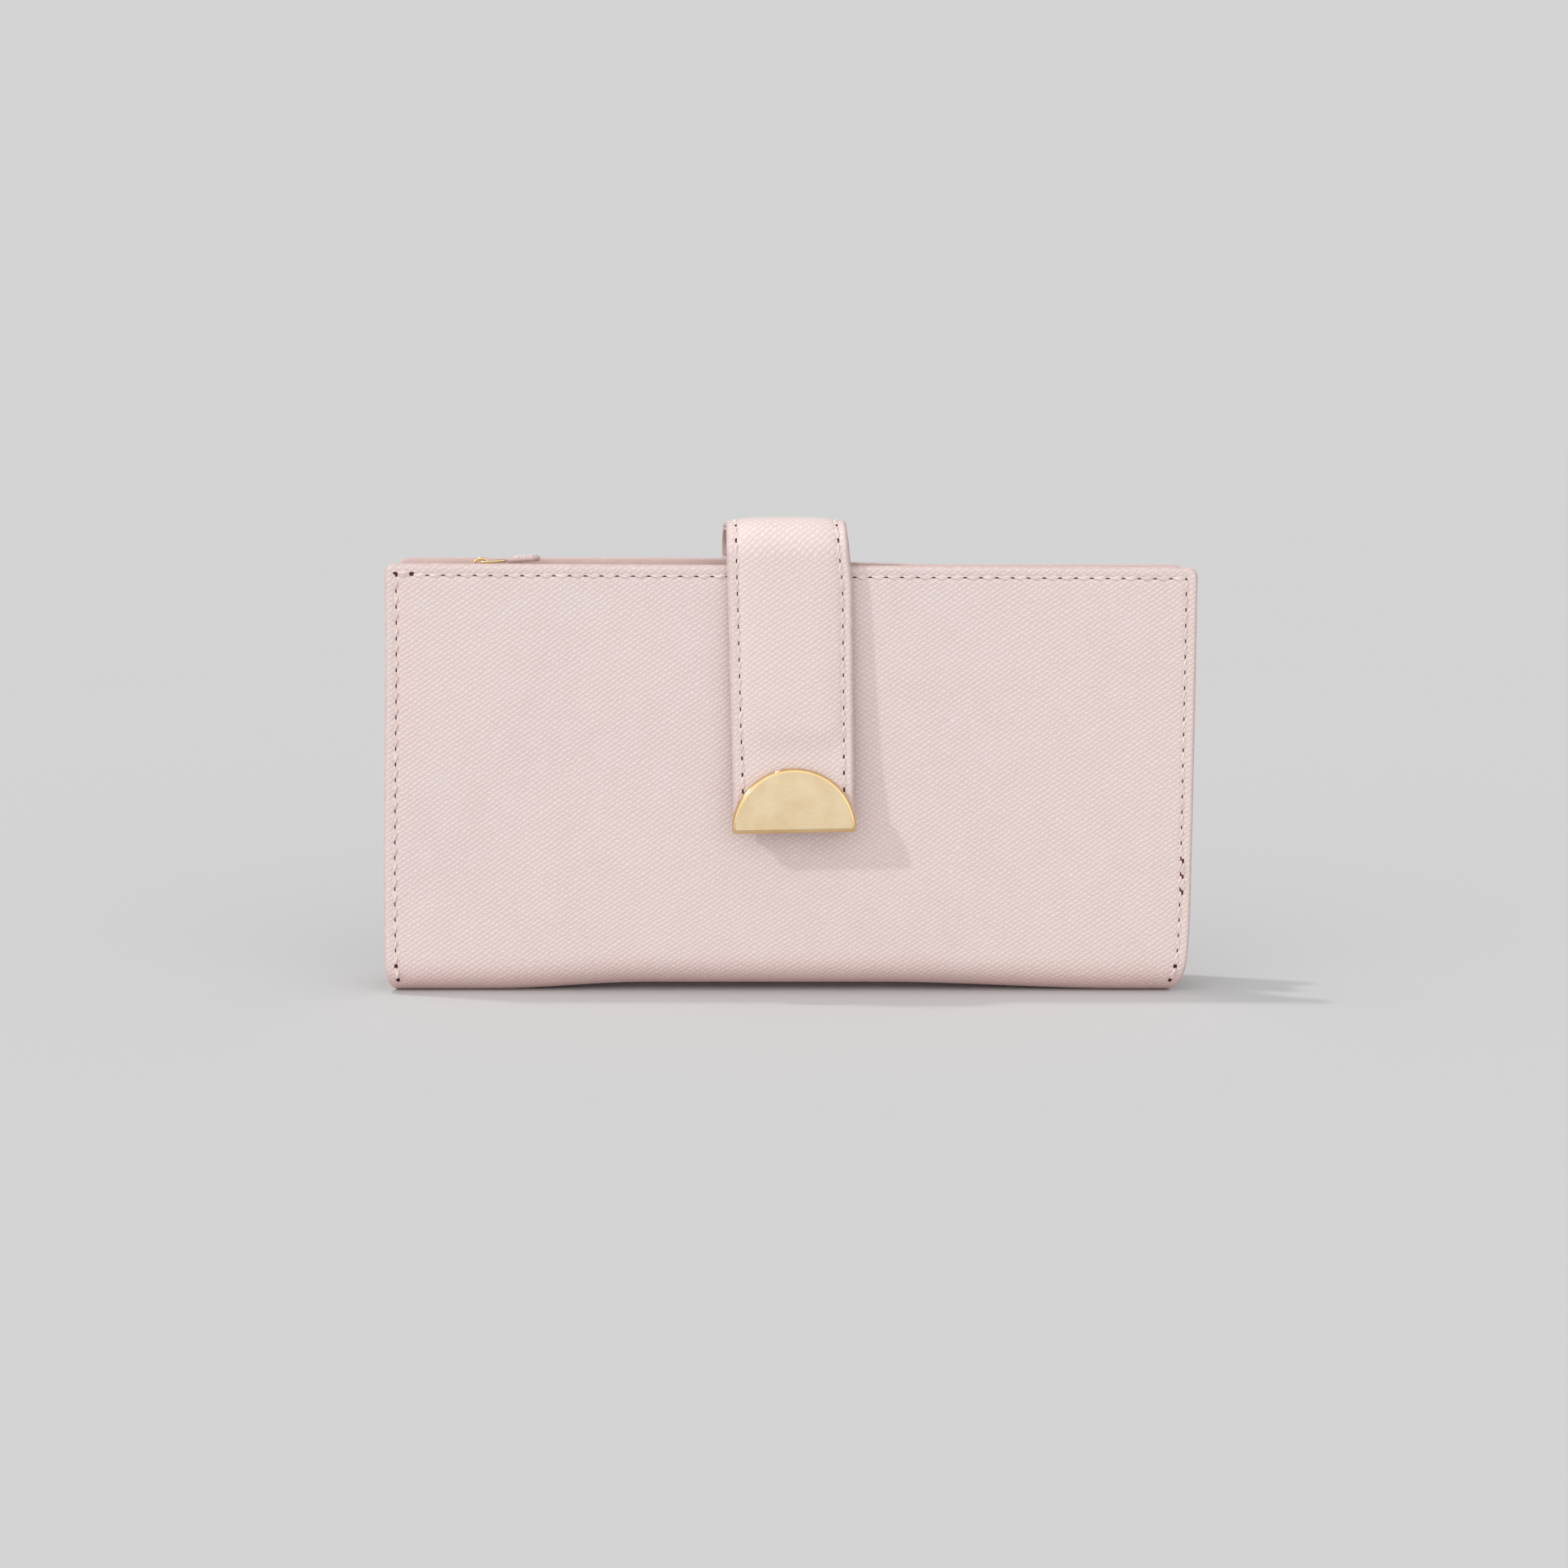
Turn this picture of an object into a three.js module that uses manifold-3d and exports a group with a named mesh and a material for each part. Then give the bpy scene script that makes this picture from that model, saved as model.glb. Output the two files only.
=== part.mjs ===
// A long bifold wallet in embossed leather: two leaves hinged on a rounded spine, card slots and a
// zipped coin pouch inside, and a strap that comes over the top from the back leaf and snaps onto
// the front leaf under a half-moon plate.
//
// Millimetres. X runs along the wallet, +Z is up, and the front faces -Y. The origin is the middle
// of the spine's flat foot, where the closed wallet stands.

import * as THREE from 'three';
import { mergeVertices } from 'three/addons/utils/BufferGeometryUtils.js';
import Module from 'manifold-3d';

const wasm = await Module();
wasm.setup();

// ---------------------------------------------------------------- driving dimensions

const LENGTH = 168; // of both leaves, along X
const HALF_LENGTH = LENGTH / 2;
const HALF_DEPTH = 11; // from the middle to the outer face of a leaf
const FRONT_TOP = 90; // top edge of the front leaf
const BACK_TOP = 90.4; // top edge of the back leaf
const LEAF_BOTTOM = 8.3; // where the flat of a leaf begins, above the spine
const LEAF_CORNER = 2; // radius of a leaf's top corners

const GAP = 0.1; // between layers that lie on each other
const LOOSE = 0.3; // around anything that sits in a cut

const LEATHER = 1.2; // grain leather
const LINING = 0.6; // lining leather
const RIM = 1; // height of the turned edge around the stiffening board
const RIM_WIDTH = 3.2;
const BOARD = RIM - 2 * GAP;

const SPINE_RADIUS = 6; // outer radius of each rounded lower edge
const SPINE_FOOT = HALF_DEPTH - SPINE_RADIUS; // half the width of the flat foot
const SPINE_TOP = 6.5; // where the spine's walls end

const PANEL_HALF_LENGTH = 81; // pockets are this much shorter than the leaves
const PANEL_BOTTOM = 9;
const PANEL_TOP = 86.2;
const POCKET = 1; // a pocket's whole thickness, slack included
const POCKET_SLACK = 0.5; // room for a card between a pocket and what is behind it
const POCKET_SEAM = 2.5; // width of a pocket's glued edges
const POCKET_STEP = POCKET + GAP;

const CARD_SLOT_LENGTH = 94;
const CARD_SLOT_TOP = 80;
const CARD_SLOT_STEP = 9; // from one slot's mouth to the next
const CARD_SLOTS = 4;
const CARD_SLOT_MIDDLE = 33;
const SIDE_POCKET_LENGTH = 62;
const SIDE_POCKET_MIDDLE = -49;
const SIDE_POCKET_TOP = 66;
const POUCH_SLOTS = 2;
const POUCH_SLOT_TOP = 74;

const POUCH_MIDDLE = 3.5; // the pouch's middle plane, in Y
const POUCH_ROOM = 4.8; // between its two walls
const GUSSET = 1; // thickness of the folded pieces that close the pouch and the note pocket
const GUSSET_OVERLAP = 7; // how far the pouch's end gussets rise above the foot of the zip tape
const NOTE_GUSSET_LENGTH = 3;
const NOTE_GUSSET_DROP = 4; // from the pouch's top edge down to the note pocket's gussets

const CHAIN_BOTTOM = 87.2; // zip chain
const CHAIN_TOP = 88.5;
const CHAIN_WIDTH = 3.2;
const CHAIN_HALF_LENGTH = 76;
const TOOTH_PITCH = 4;
const TOOTH_NOTCH = 0.5;
const TAPE = 0.4; // thickness of the zip tape
const TAPE_BOTTOM = 74.2;
const TAPE_END_INSET = 2;
const STOP_LENGTH = 1.6;

const SLIDER_LEFT = -70;
const SLIDER_RIGHT = -61;
const SLIDER_SHELL_BOTTOM = 88.7;
const SLIDER_SHELL_TOP = 89.3;
const SLIDER_HALF_WIDTH = 2.8;
const SLIDER_FLANGE = 0.5;
const SLIDER_FLANGE_BOTTOM = 87.4;
const BRIDGE_LENGTH = 3.6;
const BRIDGE_WIDTH = 1.6;
const BRIDGE_TOP = 91;
const BRIDGE_WALL = 0.5;
const PULL_HINGE = [-65.5, POUCH_MIDDLE, 89.9];
const PULL_BAR_RADIUS = 0.35;
const PULL_RISE = 4; // degrees that the pull stands above level
const LINK_LENGTH = 5.5;
const LINK_HALF_WIDTH = 2;
const LINK_WALL = 0.7;
const LINK_THICKNESS = 0.6;
const LINK_BACK = 0.4; // how far the link reaches behind its hinge bar
const LINK_SLOT_START = 1.2; // the tab's slot, measured back from the link's end
const LINK_SLOT_END = 0.6;
const LINK_BAR_WIDTH = 0.6;
const TAB_LENGTH = 6.6;
const TAB_WIDTH = 4.4;
const TAB_THICKNESS = 1.2;

const STRAP_THICKNESS = 2.5;
const STRAP_HALF_SPAN = 11.45; // from the middle to the strap's inner faces, front and back
const SHOULDER_RADIUS = 5.2; // inner radius where the strap turns over each top edge
const SHOULDER_Z = 91.4; // height of the shoulders' centres
const STRAP_ROOT_HALF_WIDTH = 14.3;
const STRAP_TIP_HALF_WIDTH = 12.75;
const STRAP_ROOT_BOTTOM = 50;
const STRAP_SLANT = 2.4; // degrees that the front leg stands off the leaf
const STRAP_LEAN = 1.04; // degrees that it leans along the wallet
const STRAP_LEG = 56.3; // length of the straight front leg
const PADDING_INSET = 2; // the padding stops this far inside the strap's edges

const PLATE_WIDTH = 25.4;
const PLATE_HEIGHT = 13.3;
const PLATE_THICKNESS = 1.9;
const PLATE_POST_RADIUS = 1;
const PLATE_POST_OFFSET = 8;
const WASHER_RADIUS = 2.2;
const SNAP_HEIGHT = 6.5; // snap centre above the strap's end
const SOCKET_RADIUS = 5.5;
const SOCKET_MOUTH = 3.3; // radius of the hole that takes the stud

const STITCH_INSET = 2.4; // leaf seams
const STRAP_STITCH_INSET = 2.1;
const THREAD_WIDTH = 0.5;
const THREAD_HEIGHT = 0.25;

const ARC_STEPS = 6; // segments of each rounded corner

// ---------------------------------------------------------------- materials

const surface = (color, roughness, metalness = 0) =>
  new THREE.MeshStandardMaterial({ color, roughness, metalness });

const GRAIN_LEATHER = surface(0xe4d1cd, 0.55);
const LINING_LEATHER = surface(0xd8bdb8, 0.65);
const BOARD_STOCK = surface(0xcfc4b4, 0.9);
const PADDING = surface(0xe8e2d8, 0.95);
const THREAD = surface(0xeadcd2, 0.8);
const TAPE_CLOTH = surface(0xd9c0ba, 0.85);
const GOLD = surface(0xd9b988, 0.28, 1);

// ---------------------------------------------------------------- shape helpers

const radians = THREE.MathUtils.degToRad;

// An outline drawn in X and Z, made solid from Y = near to Y = far.
function slab(outline, near, far) {
  const options = { depth: far - near, bevelEnabled: false, curveSegments: ARC_STEPS };
  const geometry = new THREE.ExtrudeGeometry(outline, options);
  return geometry.rotateX(Math.PI / 2).translate(0, far, 0);
}

// An outline drawn in Y and Z, made solid from X = left to X = right.
function rail(outline, left, right) {
  const options = { depth: right - left, bevelEnabled: false, curveSegments: ARC_STEPS };
  const geometry = new THREE.ExtrudeGeometry(outline, options);
  const turn = new THREE.Matrix4().makeBasis(
    new THREE.Vector3(0, 1, 0),
    new THREE.Vector3(0, 0, 1),
    new THREE.Vector3(1, 0, 0),
  );
  return geometry.applyMatrix4(turn).translate(left, 0, 0);
}

// A rectangle from (left, bottom) to (right, top) with rounded top corners.
function panel(left, right, bottom, top, radius = 0) {
  const shape = new THREE.Shape();
  shape.moveTo(left, bottom);
  shape.lineTo(right, bottom);
  if (radius > 0) {
    shape.absarc(right - radius, top - radius, radius, 0, Math.PI / 2, false);
    shape.absarc(left + radius, top - radius, radius, Math.PI / 2, Math.PI, false);
  } else {
    shape.lineTo(right, top);
    shape.lineTo(left, top);
  }
  shape.closePath();
  return shape;
}

function polygon(points) {
  return new THREE.Shape(points.map(([x, y]) => new THREE.Vector2(x, y)));
}

function block(left, right, near, far, bottom, top) {
  return slab(panel(left, right, bottom, top), near, far);
}

// A disc whose axis runs along Y.
function disc(radius, near, far, x = 0, z = 0, sides = 24) {
  const geometry = new THREE.CylinderGeometry(radius, radius, far - near, sides);
  return geometry.translate(x, (near + far) / 2, z);
}

// A turned piece about an axis along Y, from its closed profile of [radius, y] points.
function turned(profile, x = 0, z = 0) {
  const points = [...profile, profile[0]].map(([radius, y]) => new THREE.Vector2(radius, y));
  return new THREE.LatheGeometry(points, 24).translate(x, 0, z);
}

function solid(geometry) {
  geometry.deleteAttribute('normal');
  geometry.deleteAttribute('uv');
  const merged = mergeVertices(geometry);
  return new wasm.Manifold(
    new wasm.Mesh({
      numProp: 3,
      vertProperties: new Float32Array(merged.attributes.position.array),
      triVerts: new Uint32Array(merged.index.array),
    }),
  );
}

function surfaceOf(body) {
  const mesh = body.getMesh();
  const geometry = new THREE.BufferGeometry();
  geometry.setAttribute('position', new THREE.BufferAttribute(mesh.vertProperties, 3));
  geometry.setIndex(new THREE.BufferAttribute(mesh.triVerts, 1));
  geometry.computeVertexNormals();
  return geometry;
}

function cut(geometry, ...tools) {
  return surfaceOf(tools.reduce((body, tool) => body.subtract(solid(tool)), solid(geometry)));
}

function join(geometry, ...others) {
  return surfaceOf(others.reduce((body, other) => body.add(solid(other)), solid(geometry)));
}

function add(group, name, geometry, material) {
  const mesh = new THREE.Mesh(geometry, material);
  mesh.name = name;
  group.add(mesh);
}

// ---------------------------------------------------------------- spine

// The U of the spine's cross-section, from an outer radius inwards by a thickness.
function channel(radius, thickness) {
  const inner = radius - thickness;
  const down = 1.5 * Math.PI;
  const shape = new THREE.Shape();
  shape.moveTo(-SPINE_FOOT - radius, SPINE_TOP);
  shape.absarc(-SPINE_FOOT, SPINE_RADIUS, radius, Math.PI, down, false);
  shape.absarc(SPINE_FOOT, SPINE_RADIUS, radius, down, 2 * Math.PI, false);
  shape.lineTo(SPINE_FOOT + radius, SPINE_TOP);
  shape.lineTo(SPINE_FOOT + inner, SPINE_TOP);
  shape.absarc(SPINE_FOOT, SPINE_RADIUS, inner, 2 * Math.PI, down, true);
  shape.absarc(-SPINE_FOOT, SPINE_RADIUS, inner, down, Math.PI, true);
  shape.lineTo(-SPINE_FOOT - inner, SPINE_TOP);
  shape.closePath();
  return shape;
}

function makeSpine() {
  const spine = new THREE.Group();
  const leather = rail(channel(SPINE_RADIUS, LEATHER), -HALF_LENGTH, HALF_LENGTH);
  const liningRadius = SPINE_RADIUS - LEATHER - GAP;
  const lining = rail(channel(liningRadius, LINING), -HALF_LENGTH, HALF_LENGTH);
  add(spine, 'spine_leather', leather, GRAIN_LEATHER);
  add(spine, 'spine_lining', lining, LINING_LEATHER);
  return spine;
}

// ---------------------------------------------------------------- leaves

// Both leaves are built facing -Y. The back leaf is turned round to face +Y.
const FACE = -HALF_DEPTH;
const RIM_FACE = FACE + LEATHER + RIM;
const LINING_FACE = RIM_FACE + GAP;
const LINING_BACK = LINING_FACE + LINING;

function leafLeather(top) {
  const outline = panel(-HALF_LENGTH, HALF_LENGTH, LEAF_BOTTOM, top, LEAF_CORNER);
  const recess = block(
    -HALF_LENGTH + RIM_WIDTH,
    HALF_LENGTH - RIM_WIDTH,
    FACE + LEATHER,
    RIM_FACE + 1,
    LEAF_BOTTOM + RIM_WIDTH,
    top - RIM_WIDTH,
  );
  return cut(slab(outline, FACE, RIM_FACE), recess);
}

function leafBoard(top) {
  const reach = HALF_LENGTH - RIM_WIDTH - LOOSE;
  const near = FACE + LEATHER + GAP;
  const bottom = LEAF_BOTTOM + RIM_WIDTH + LOOSE;
  return block(-reach, reach, near, near + BOARD, bottom, top - RIM_WIDTH - LOOSE);
}

function leafLining(top) {
  const outline = panel(-HALF_LENGTH, HALF_LENGTH, LEAF_BOTTOM, top, LEAF_CORNER);
  return slab(outline, LINING_FACE, LINING_BACK);
}

// The seam along the left, top and right edges, as one flat ribbon of thread on the leather.
function leafThread(top) {
  const reach = HALF_LENGTH - STITCH_INSET;
  const seam = panel(-reach, reach, LEAF_BOTTOM + 1, top - STITCH_INSET);
  const inside = block(
    -reach + THREAD_WIDTH,
    reach - THREAD_WIDTH,
    FACE - 1,
    FACE + 1,
    LEAF_BOTTOM - 1,
    top - STITCH_INSET - THREAD_WIDTH,
  );
  return cut(slab(seam, FACE - GAP - THREAD_HEIGHT, FACE - GAP), inside);
}

// A flat pocket that is open at the top. Its slack is cut into the side towards the wall behind
// it, which is -Y for a pocket on the front leaf and +Y for one on the pouch.
function pocket(middle, length, mouth, near, wallSide) {
  const left = middle - length / 2;
  const right = middle + length / 2;
  const far = near + POCKET;
  const slackNear = wallSide < 0 ? near - 1 : far - POCKET_SLACK;
  const slackFar = wallSide < 0 ? near + POCKET_SLACK : far + 1;
  const slack = block(
    left + POCKET_SEAM,
    right - POCKET_SEAM,
    slackNear,
    slackFar,
    PANEL_BOTTOM + POCKET_SEAM,
    mouth + 1,
  );
  return cut(block(left, right, near, far, PANEL_BOTTOM, mouth), slack);
}

// ---------------------------------------------------------------- strap geometry

// The strap goes over the top in two round shoulders with a flat between them. The front leg
// hangs from where the front shoulder has turned almost straight down.
const SHOULDER_OFFSET = STRAP_HALF_SPAN - SHOULDER_RADIUS;
const SHOULDER_END = Math.PI - radians(STRAP_SLANT);
const LEG_TOP_Y = SHOULDER_RADIUS * Math.cos(SHOULDER_END) - SHOULDER_OFFSET;
const LEG_TOP_Z = SHOULDER_Z + SHOULDER_RADIUS * Math.sin(SHOULDER_END);

// Where the snap meets the leaf: the leg's own lean carries it sideways on its way down.
const SNAP_DROP = STRAP_LEG - SNAP_HEIGHT;
const SNAP_X = SNAP_DROP * Math.sin(radians(STRAP_LEAN));
const SNAP_Z = LEG_TOP_Z - SNAP_DROP * Math.cos(radians(STRAP_SLANT));

// Layers of the strap, measured outwards from its inner face.
const STRAP_LINING = [0, 0.6];
const STRAP_PADDING = [0.7, 1.2];
const STRAP_LEATHER = [1.3, STRAP_THICKNESS];

const STUD_BASE_RADIUS = 4.5;
const STUD_BASE = 0.5;
const STUD_BULB_RADIUS = 2.2;
const STUD_HEIGHT = 1.6;
const RIVET_RADIUS = 1.2;
const RIVET_HEAD_RADIUS = 4;
const RIVET_HEAD = 0.5; // thickness
const BULB_CHAMFER = 0.4;
const BULB_WAIST = 0.3; // how far the stud's neck draws in, and how high above its base
const STUD_BASE_SLOPE = 0.2;
const SOCKET_DEPTH = 1.5;
const SOCKET_FLOOR = 0.5;
const CAP_LAYER = [-1.15, -0.75]; // washers and the snap's cap, inside the padding
const POST_END = -0.8; // how far the plate's posts and the cap's rivet reach through
const CAP_RIVET_END = 0.4;

// ---------------------------------------------------------------- front leaf

function makeFrontCover() {
  const cover = new THREE.Group();
  const rivetHole = () => disc(RIVET_RADIUS + LOOSE, FACE - 1, RIM_FACE + 1, SNAP_X, SNAP_Z);
  const headHole = disc(RIVET_HEAD_RADIUS + LOOSE, FACE - 1, RIM_FACE + 1, SNAP_X, SNAP_Z);
  add(cover, 'front_cover_leather', cut(leafLeather(FRONT_TOP), rivetHole()), GRAIN_LEATHER);
  add(cover, 'front_cover_board', cut(leafBoard(FRONT_TOP), headHole), BOARD_STOCK);
  add(cover, 'front_lining', leafLining(FRONT_TOP), LINING_LEATHER);

  const notePocket = pocket(0, 2 * PANEL_HALF_LENGTH, PANEL_TOP, LINING_BACK + GAP, -1);
  add(cover, 'front_note_pocket', notePocket, LINING_LEATHER);
  const firstPocket = LINING_BACK + GAP + POCKET_STEP;
  for (let slot = 0; slot < CARD_SLOTS; slot += 1) {
    const mouth = CARD_SLOT_TOP - slot * CARD_SLOT_STEP;
    const near = firstPocket + slot * POCKET_STEP;
    const shape = pocket(CARD_SLOT_MIDDLE, CARD_SLOT_LENGTH, mouth, near, -1);
    add(cover, `front_card_slot_${slot + 1}`, shape, LINING_LEATHER);
  }
  const side = pocket(SIDE_POCKET_MIDDLE, SIDE_POCKET_LENGTH, SIDE_POCKET_TOP, firstPocket, -1);
  add(cover, 'front_side_pocket', side, LINING_LEATHER);

  const studFace = FACE - GAP;
  const stud = turned(
    [
      [RIVET_RADIUS + LOOSE, studFace],
      [RIVET_RADIUS + LOOSE, studFace - STUD_HEIGHT],
      [STUD_BULB_RADIUS - BULB_CHAMFER, studFace - STUD_HEIGHT],
      [STUD_BULB_RADIUS, studFace - STUD_HEIGHT + BULB_CHAMFER],
      [STUD_BULB_RADIUS - BULB_WAIST, studFace - STUD_BASE - BULB_WAIST],
      [STUD_BULB_RADIUS, studFace - STUD_BASE],
      [STUD_BASE_RADIUS, studFace - STUD_BASE + STUD_BASE_SLOPE],
      [STUD_BASE_RADIUS, studFace],
    ],
    SNAP_X,
    SNAP_Z,
  );
  add(cover, 'front_snap_stud', stud, GOLD);
  const headNear = FACE + LEATHER + GAP;
  const rivet = join(
    disc(RIVET_HEAD_RADIUS, headNear, headNear + RIVET_HEAD, SNAP_X, SNAP_Z),
    disc(RIVET_RADIUS, studFace - STUD_HEIGHT + LOOSE, headNear + RIVET_HEAD / 2, SNAP_X, SNAP_Z),
  );
  add(cover, 'front_snap_rivet', rivet, GOLD);
  add(cover, 'front_seam_thread', leafThread(FRONT_TOP), THREAD);
  return cover;
}

// ---------------------------------------------------------------- back leaf and pouch

const POUCH_INNER_NEAR = POUCH_MIDDLE - POUCH_ROOM / 2;
const POUCH_INNER_FAR = POUCH_MIDDLE + POUCH_ROOM / 2;
const BACK_LINING_FACE = -LINING_BACK;

function addPouch(cover) {
  const wall = panel(-PANEL_HALF_LENGTH, PANEL_HALF_LENGTH, PANEL_BOTTOM, PANEL_TOP, 1);
  const frontWall = slab(wall, POUCH_INNER_NEAR - LINING, POUCH_INNER_NEAR);
  const backWall = slab(wall, POUCH_INNER_FAR, POUCH_INNER_FAR + LINING);
  add(cover, 'pouch_front_wall', frontWall, LINING_LEATHER);
  add(cover, 'pouch_back_wall', backWall, LINING_LEATHER);

  const near = POUCH_INNER_NEAR + GAP;
  const far = POUCH_INNER_FAR - GAP;
  const gussetBottom = PANEL_BOTTOM + GUSSET + GAP;
  const gussetTop = TAPE_BOTTOM + GUSSET_OVERLAP;
  const floor = block(-PANEL_HALF_LENGTH, PANEL_HALF_LENGTH, near, far, PANEL_BOTTOM, PANEL_BOTTOM + GUSSET);
  add(cover, 'pouch_floor', floor, LINING_LEATHER);
  for (const [side, sign] of [['left', -1], ['right', 1]]) {
    const edges = [sign * PANEL_HALF_LENGTH, sign * (PANEL_HALF_LENGTH - GUSSET)];
    const [left, right] = edges.sort((a, b) => a - b);
    const gusset = block(left, right, near, far, gussetBottom, gussetTop);
    add(cover, `pouch_gusset_${side}`, gusset, LINING_LEATHER);

    const noteEdges = [sign * PANEL_HALF_LENGTH, sign * (PANEL_HALF_LENGTH - NOTE_GUSSET_LENGTH)];
    const [noteLeft, noteRight] = noteEdges.sort((a, b) => a - b);
    const noteNear = POUCH_INNER_FAR + LINING + GAP;
    const noteGusset = block(
      noteLeft,
      noteRight,
      noteNear,
      BACK_LINING_FACE - GAP,
      PANEL_BOTTOM,
      PANEL_TOP - NOTE_GUSSET_DROP,
    );
    add(cover, `note_gusset_${side}`, noteGusset, LINING_LEATHER);
  }

  for (let slot = 0; slot < POUCH_SLOTS; slot += 1) {
    const mouth = POUCH_SLOT_TOP - slot * CARD_SLOT_STEP;
    const slotFar = POUCH_INNER_NEAR - LINING - GAP - slot * POCKET_STEP;
    const shape = pocket(0, CARD_SLOT_LENGTH, mouth, slotFar - POCKET, 1);
    add(cover, `pouch_card_slot_${slot + 1}`, shape, LINING_LEATHER);
  }
}

// One half of the zip tape: it hangs inside a wall of the pouch and turns in under the chain.
function zipTape(sign) {
  const wall = POUCH_MIDDLE + sign * (POUCH_ROOM / 2 - GAP);
  const inner = wall - sign * TAPE;
  const edge = POUCH_MIDDLE + sign * LOOSE;
  const top = CHAIN_BOTTOM - 2 * GAP;
  const outline = polygon([
    [wall, TAPE_BOTTOM],
    [wall, top],
    [edge, top],
    [edge, top - TAPE],
    [inner, top - TAPE],
    [inner, TAPE_BOTTOM],
  ]);
  return rail(outline, -PANEL_HALF_LENGTH + TAPE_END_INSET, PANEL_HALF_LENGTH - TAPE_END_INSET);
}

// The closed chain seen from above: teeth from both sides, half a pitch apart.
function zipChain() {
  const half = CHAIN_WIDTH / 2;
  const count = (2 * CHAIN_HALF_LENGTH) / TOOTH_PITCH;
  const points = [];
  const side = (sign, x) => {
    const outer = sign * half;
    const inner = sign * (half - TOOTH_NOTCH);
    points.push([x, outer], [x + (sign * TOOTH_PITCH) / 2, outer]);
    points.push([x + (sign * TOOTH_PITCH) / 2, inner], [x + sign * TOOTH_PITCH, inner]);
  };
  for (let tooth = 0; tooth < count; tooth += 1) {
    side(-1, CHAIN_HALF_LENGTH - tooth * TOOTH_PITCH);
  }
  for (let tooth = 0; tooth < count; tooth += 1) {
    side(1, -CHAIN_HALF_LENGTH + tooth * TOOTH_PITCH);
  }
  const options = { depth: CHAIN_TOP - CHAIN_BOTTOM, bevelEnabled: false };
  const geometry = new THREE.ExtrudeGeometry(polygon(points), options);
  return geometry.translate(0, POUCH_MIDDLE, CHAIN_BOTTOM);
}

function addZip(cover) {
  add(cover, 'zip_tape_front', zipTape(-1), TAPE_CLOTH);
  add(cover, 'zip_tape_back', zipTape(1), TAPE_CLOTH);
  add(cover, 'zip_chain', zipChain(), GOLD);
  const near = POUCH_MIDDLE - CHAIN_WIDTH / 2;
  const far = POUCH_MIDDLE + CHAIN_WIDTH / 2;
  for (const [side, sign] of [['left', -1], ['right', 1]]) {
    const inner = CHAIN_HALF_LENGTH + GAP;
    const edges = [sign * inner, sign * (inner + STOP_LENGTH)];
    const [left, right] = edges.sort((a, b) => a - b);
    const stop = block(left, right, near, far, CHAIN_BOTTOM, CHAIN_TOP);
    add(cover, `zip_stop_${side}`, stop, GOLD);
  }
}

function makeBackCover() {
  const cover = new THREE.Group();
  const turnRound = (geometry) => geometry.rotateZ(Math.PI);
  add(cover, 'back_cover_leather', turnRound(leafLeather(BACK_TOP)), GRAIN_LEATHER);
  add(cover, 'back_cover_board', turnRound(leafBoard(BACK_TOP)), BOARD_STOCK);
  add(cover, 'back_lining', turnRound(leafLining(BACK_TOP)), LINING_LEATHER);
  add(cover, 'back_seam_thread', turnRound(leafThread(BACK_TOP)), THREAD);
  addPouch(cover);
  addZip(cover);

  const rootFar = STRAP_HALF_SPAN + STRAP_THICKNESS;
  const rootTop = SHOULDER_Z - GAP;
  const root = block(
    -STRAP_ROOT_HALF_WIDTH,
    STRAP_ROOT_HALF_WIDTH,
    STRAP_HALF_SPAN,
    rootFar,
    STRAP_ROOT_BOTTOM,
    rootTop,
  );
  add(cover, 'strap_root_leather', root, GRAIN_LEATHER);

  const reach = STRAP_ROOT_HALF_WIDTH - STRAP_STITCH_INSET;
  const seamBottom = STRAP_ROOT_BOTTOM + STRAP_STITCH_INSET;
  const seamTop = rootTop - STRAP_STITCH_INSET;
  const seamNear = rootFar + GAP;
  const seam = block(-reach, reach, seamNear, seamNear + THREAD_HEIGHT, seamBottom, seamTop);
  const inside = block(
    -reach + THREAD_WIDTH,
    reach - THREAD_WIDTH,
    seamNear - 1,
    seamNear + 1,
    seamBottom + THREAD_WIDTH,
    seamTop - THREAD_WIDTH,
  );
  add(cover, 'strap_root_thread', cut(seam, inside), THREAD);
  return cover;
}

// ---------------------------------------------------------------- strap

// A layer of the arch over the top, between two distances out from the strap's inner face.
function archLayer([from, to], halfWidth) {
  const inner = SHOULDER_RADIUS + from;
  const outer = SHOULDER_RADIUS + to;
  const shape = new THREE.Shape();
  shape.absarc(SHOULDER_OFFSET, SHOULDER_Z, outer, 0, Math.PI / 2, false);
  shape.absarc(-SHOULDER_OFFSET, SHOULDER_Z, outer, Math.PI / 2, SHOULDER_END, false);
  shape.absarc(-SHOULDER_OFFSET, SHOULDER_Z, inner, SHOULDER_END, Math.PI / 2, true);
  shape.absarc(SHOULDER_OFFSET, SHOULDER_Z, inner, Math.PI / 2, 0, true);
  shape.closePath();
  return rail(shape, -halfWidth, halfWidth);
}

function makeStrapArch() {
  const arch = new THREE.Group();
  const halfWidth = (STRAP_ROOT_HALF_WIDTH + STRAP_TIP_HALF_WIDTH) / 2;
  add(arch, 'strap_arch_leather', archLayer(STRAP_LEATHER, halfWidth), GRAIN_LEATHER);
  add(arch, 'strap_arch_padding', archLayer(STRAP_PADDING, halfWidth - PADDING_INSET), PADDING);
  add(arch, 'strap_arch_lining', archLayer(STRAP_LINING, halfWidth), LINING_LEATHER);
  return arch;
}

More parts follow.
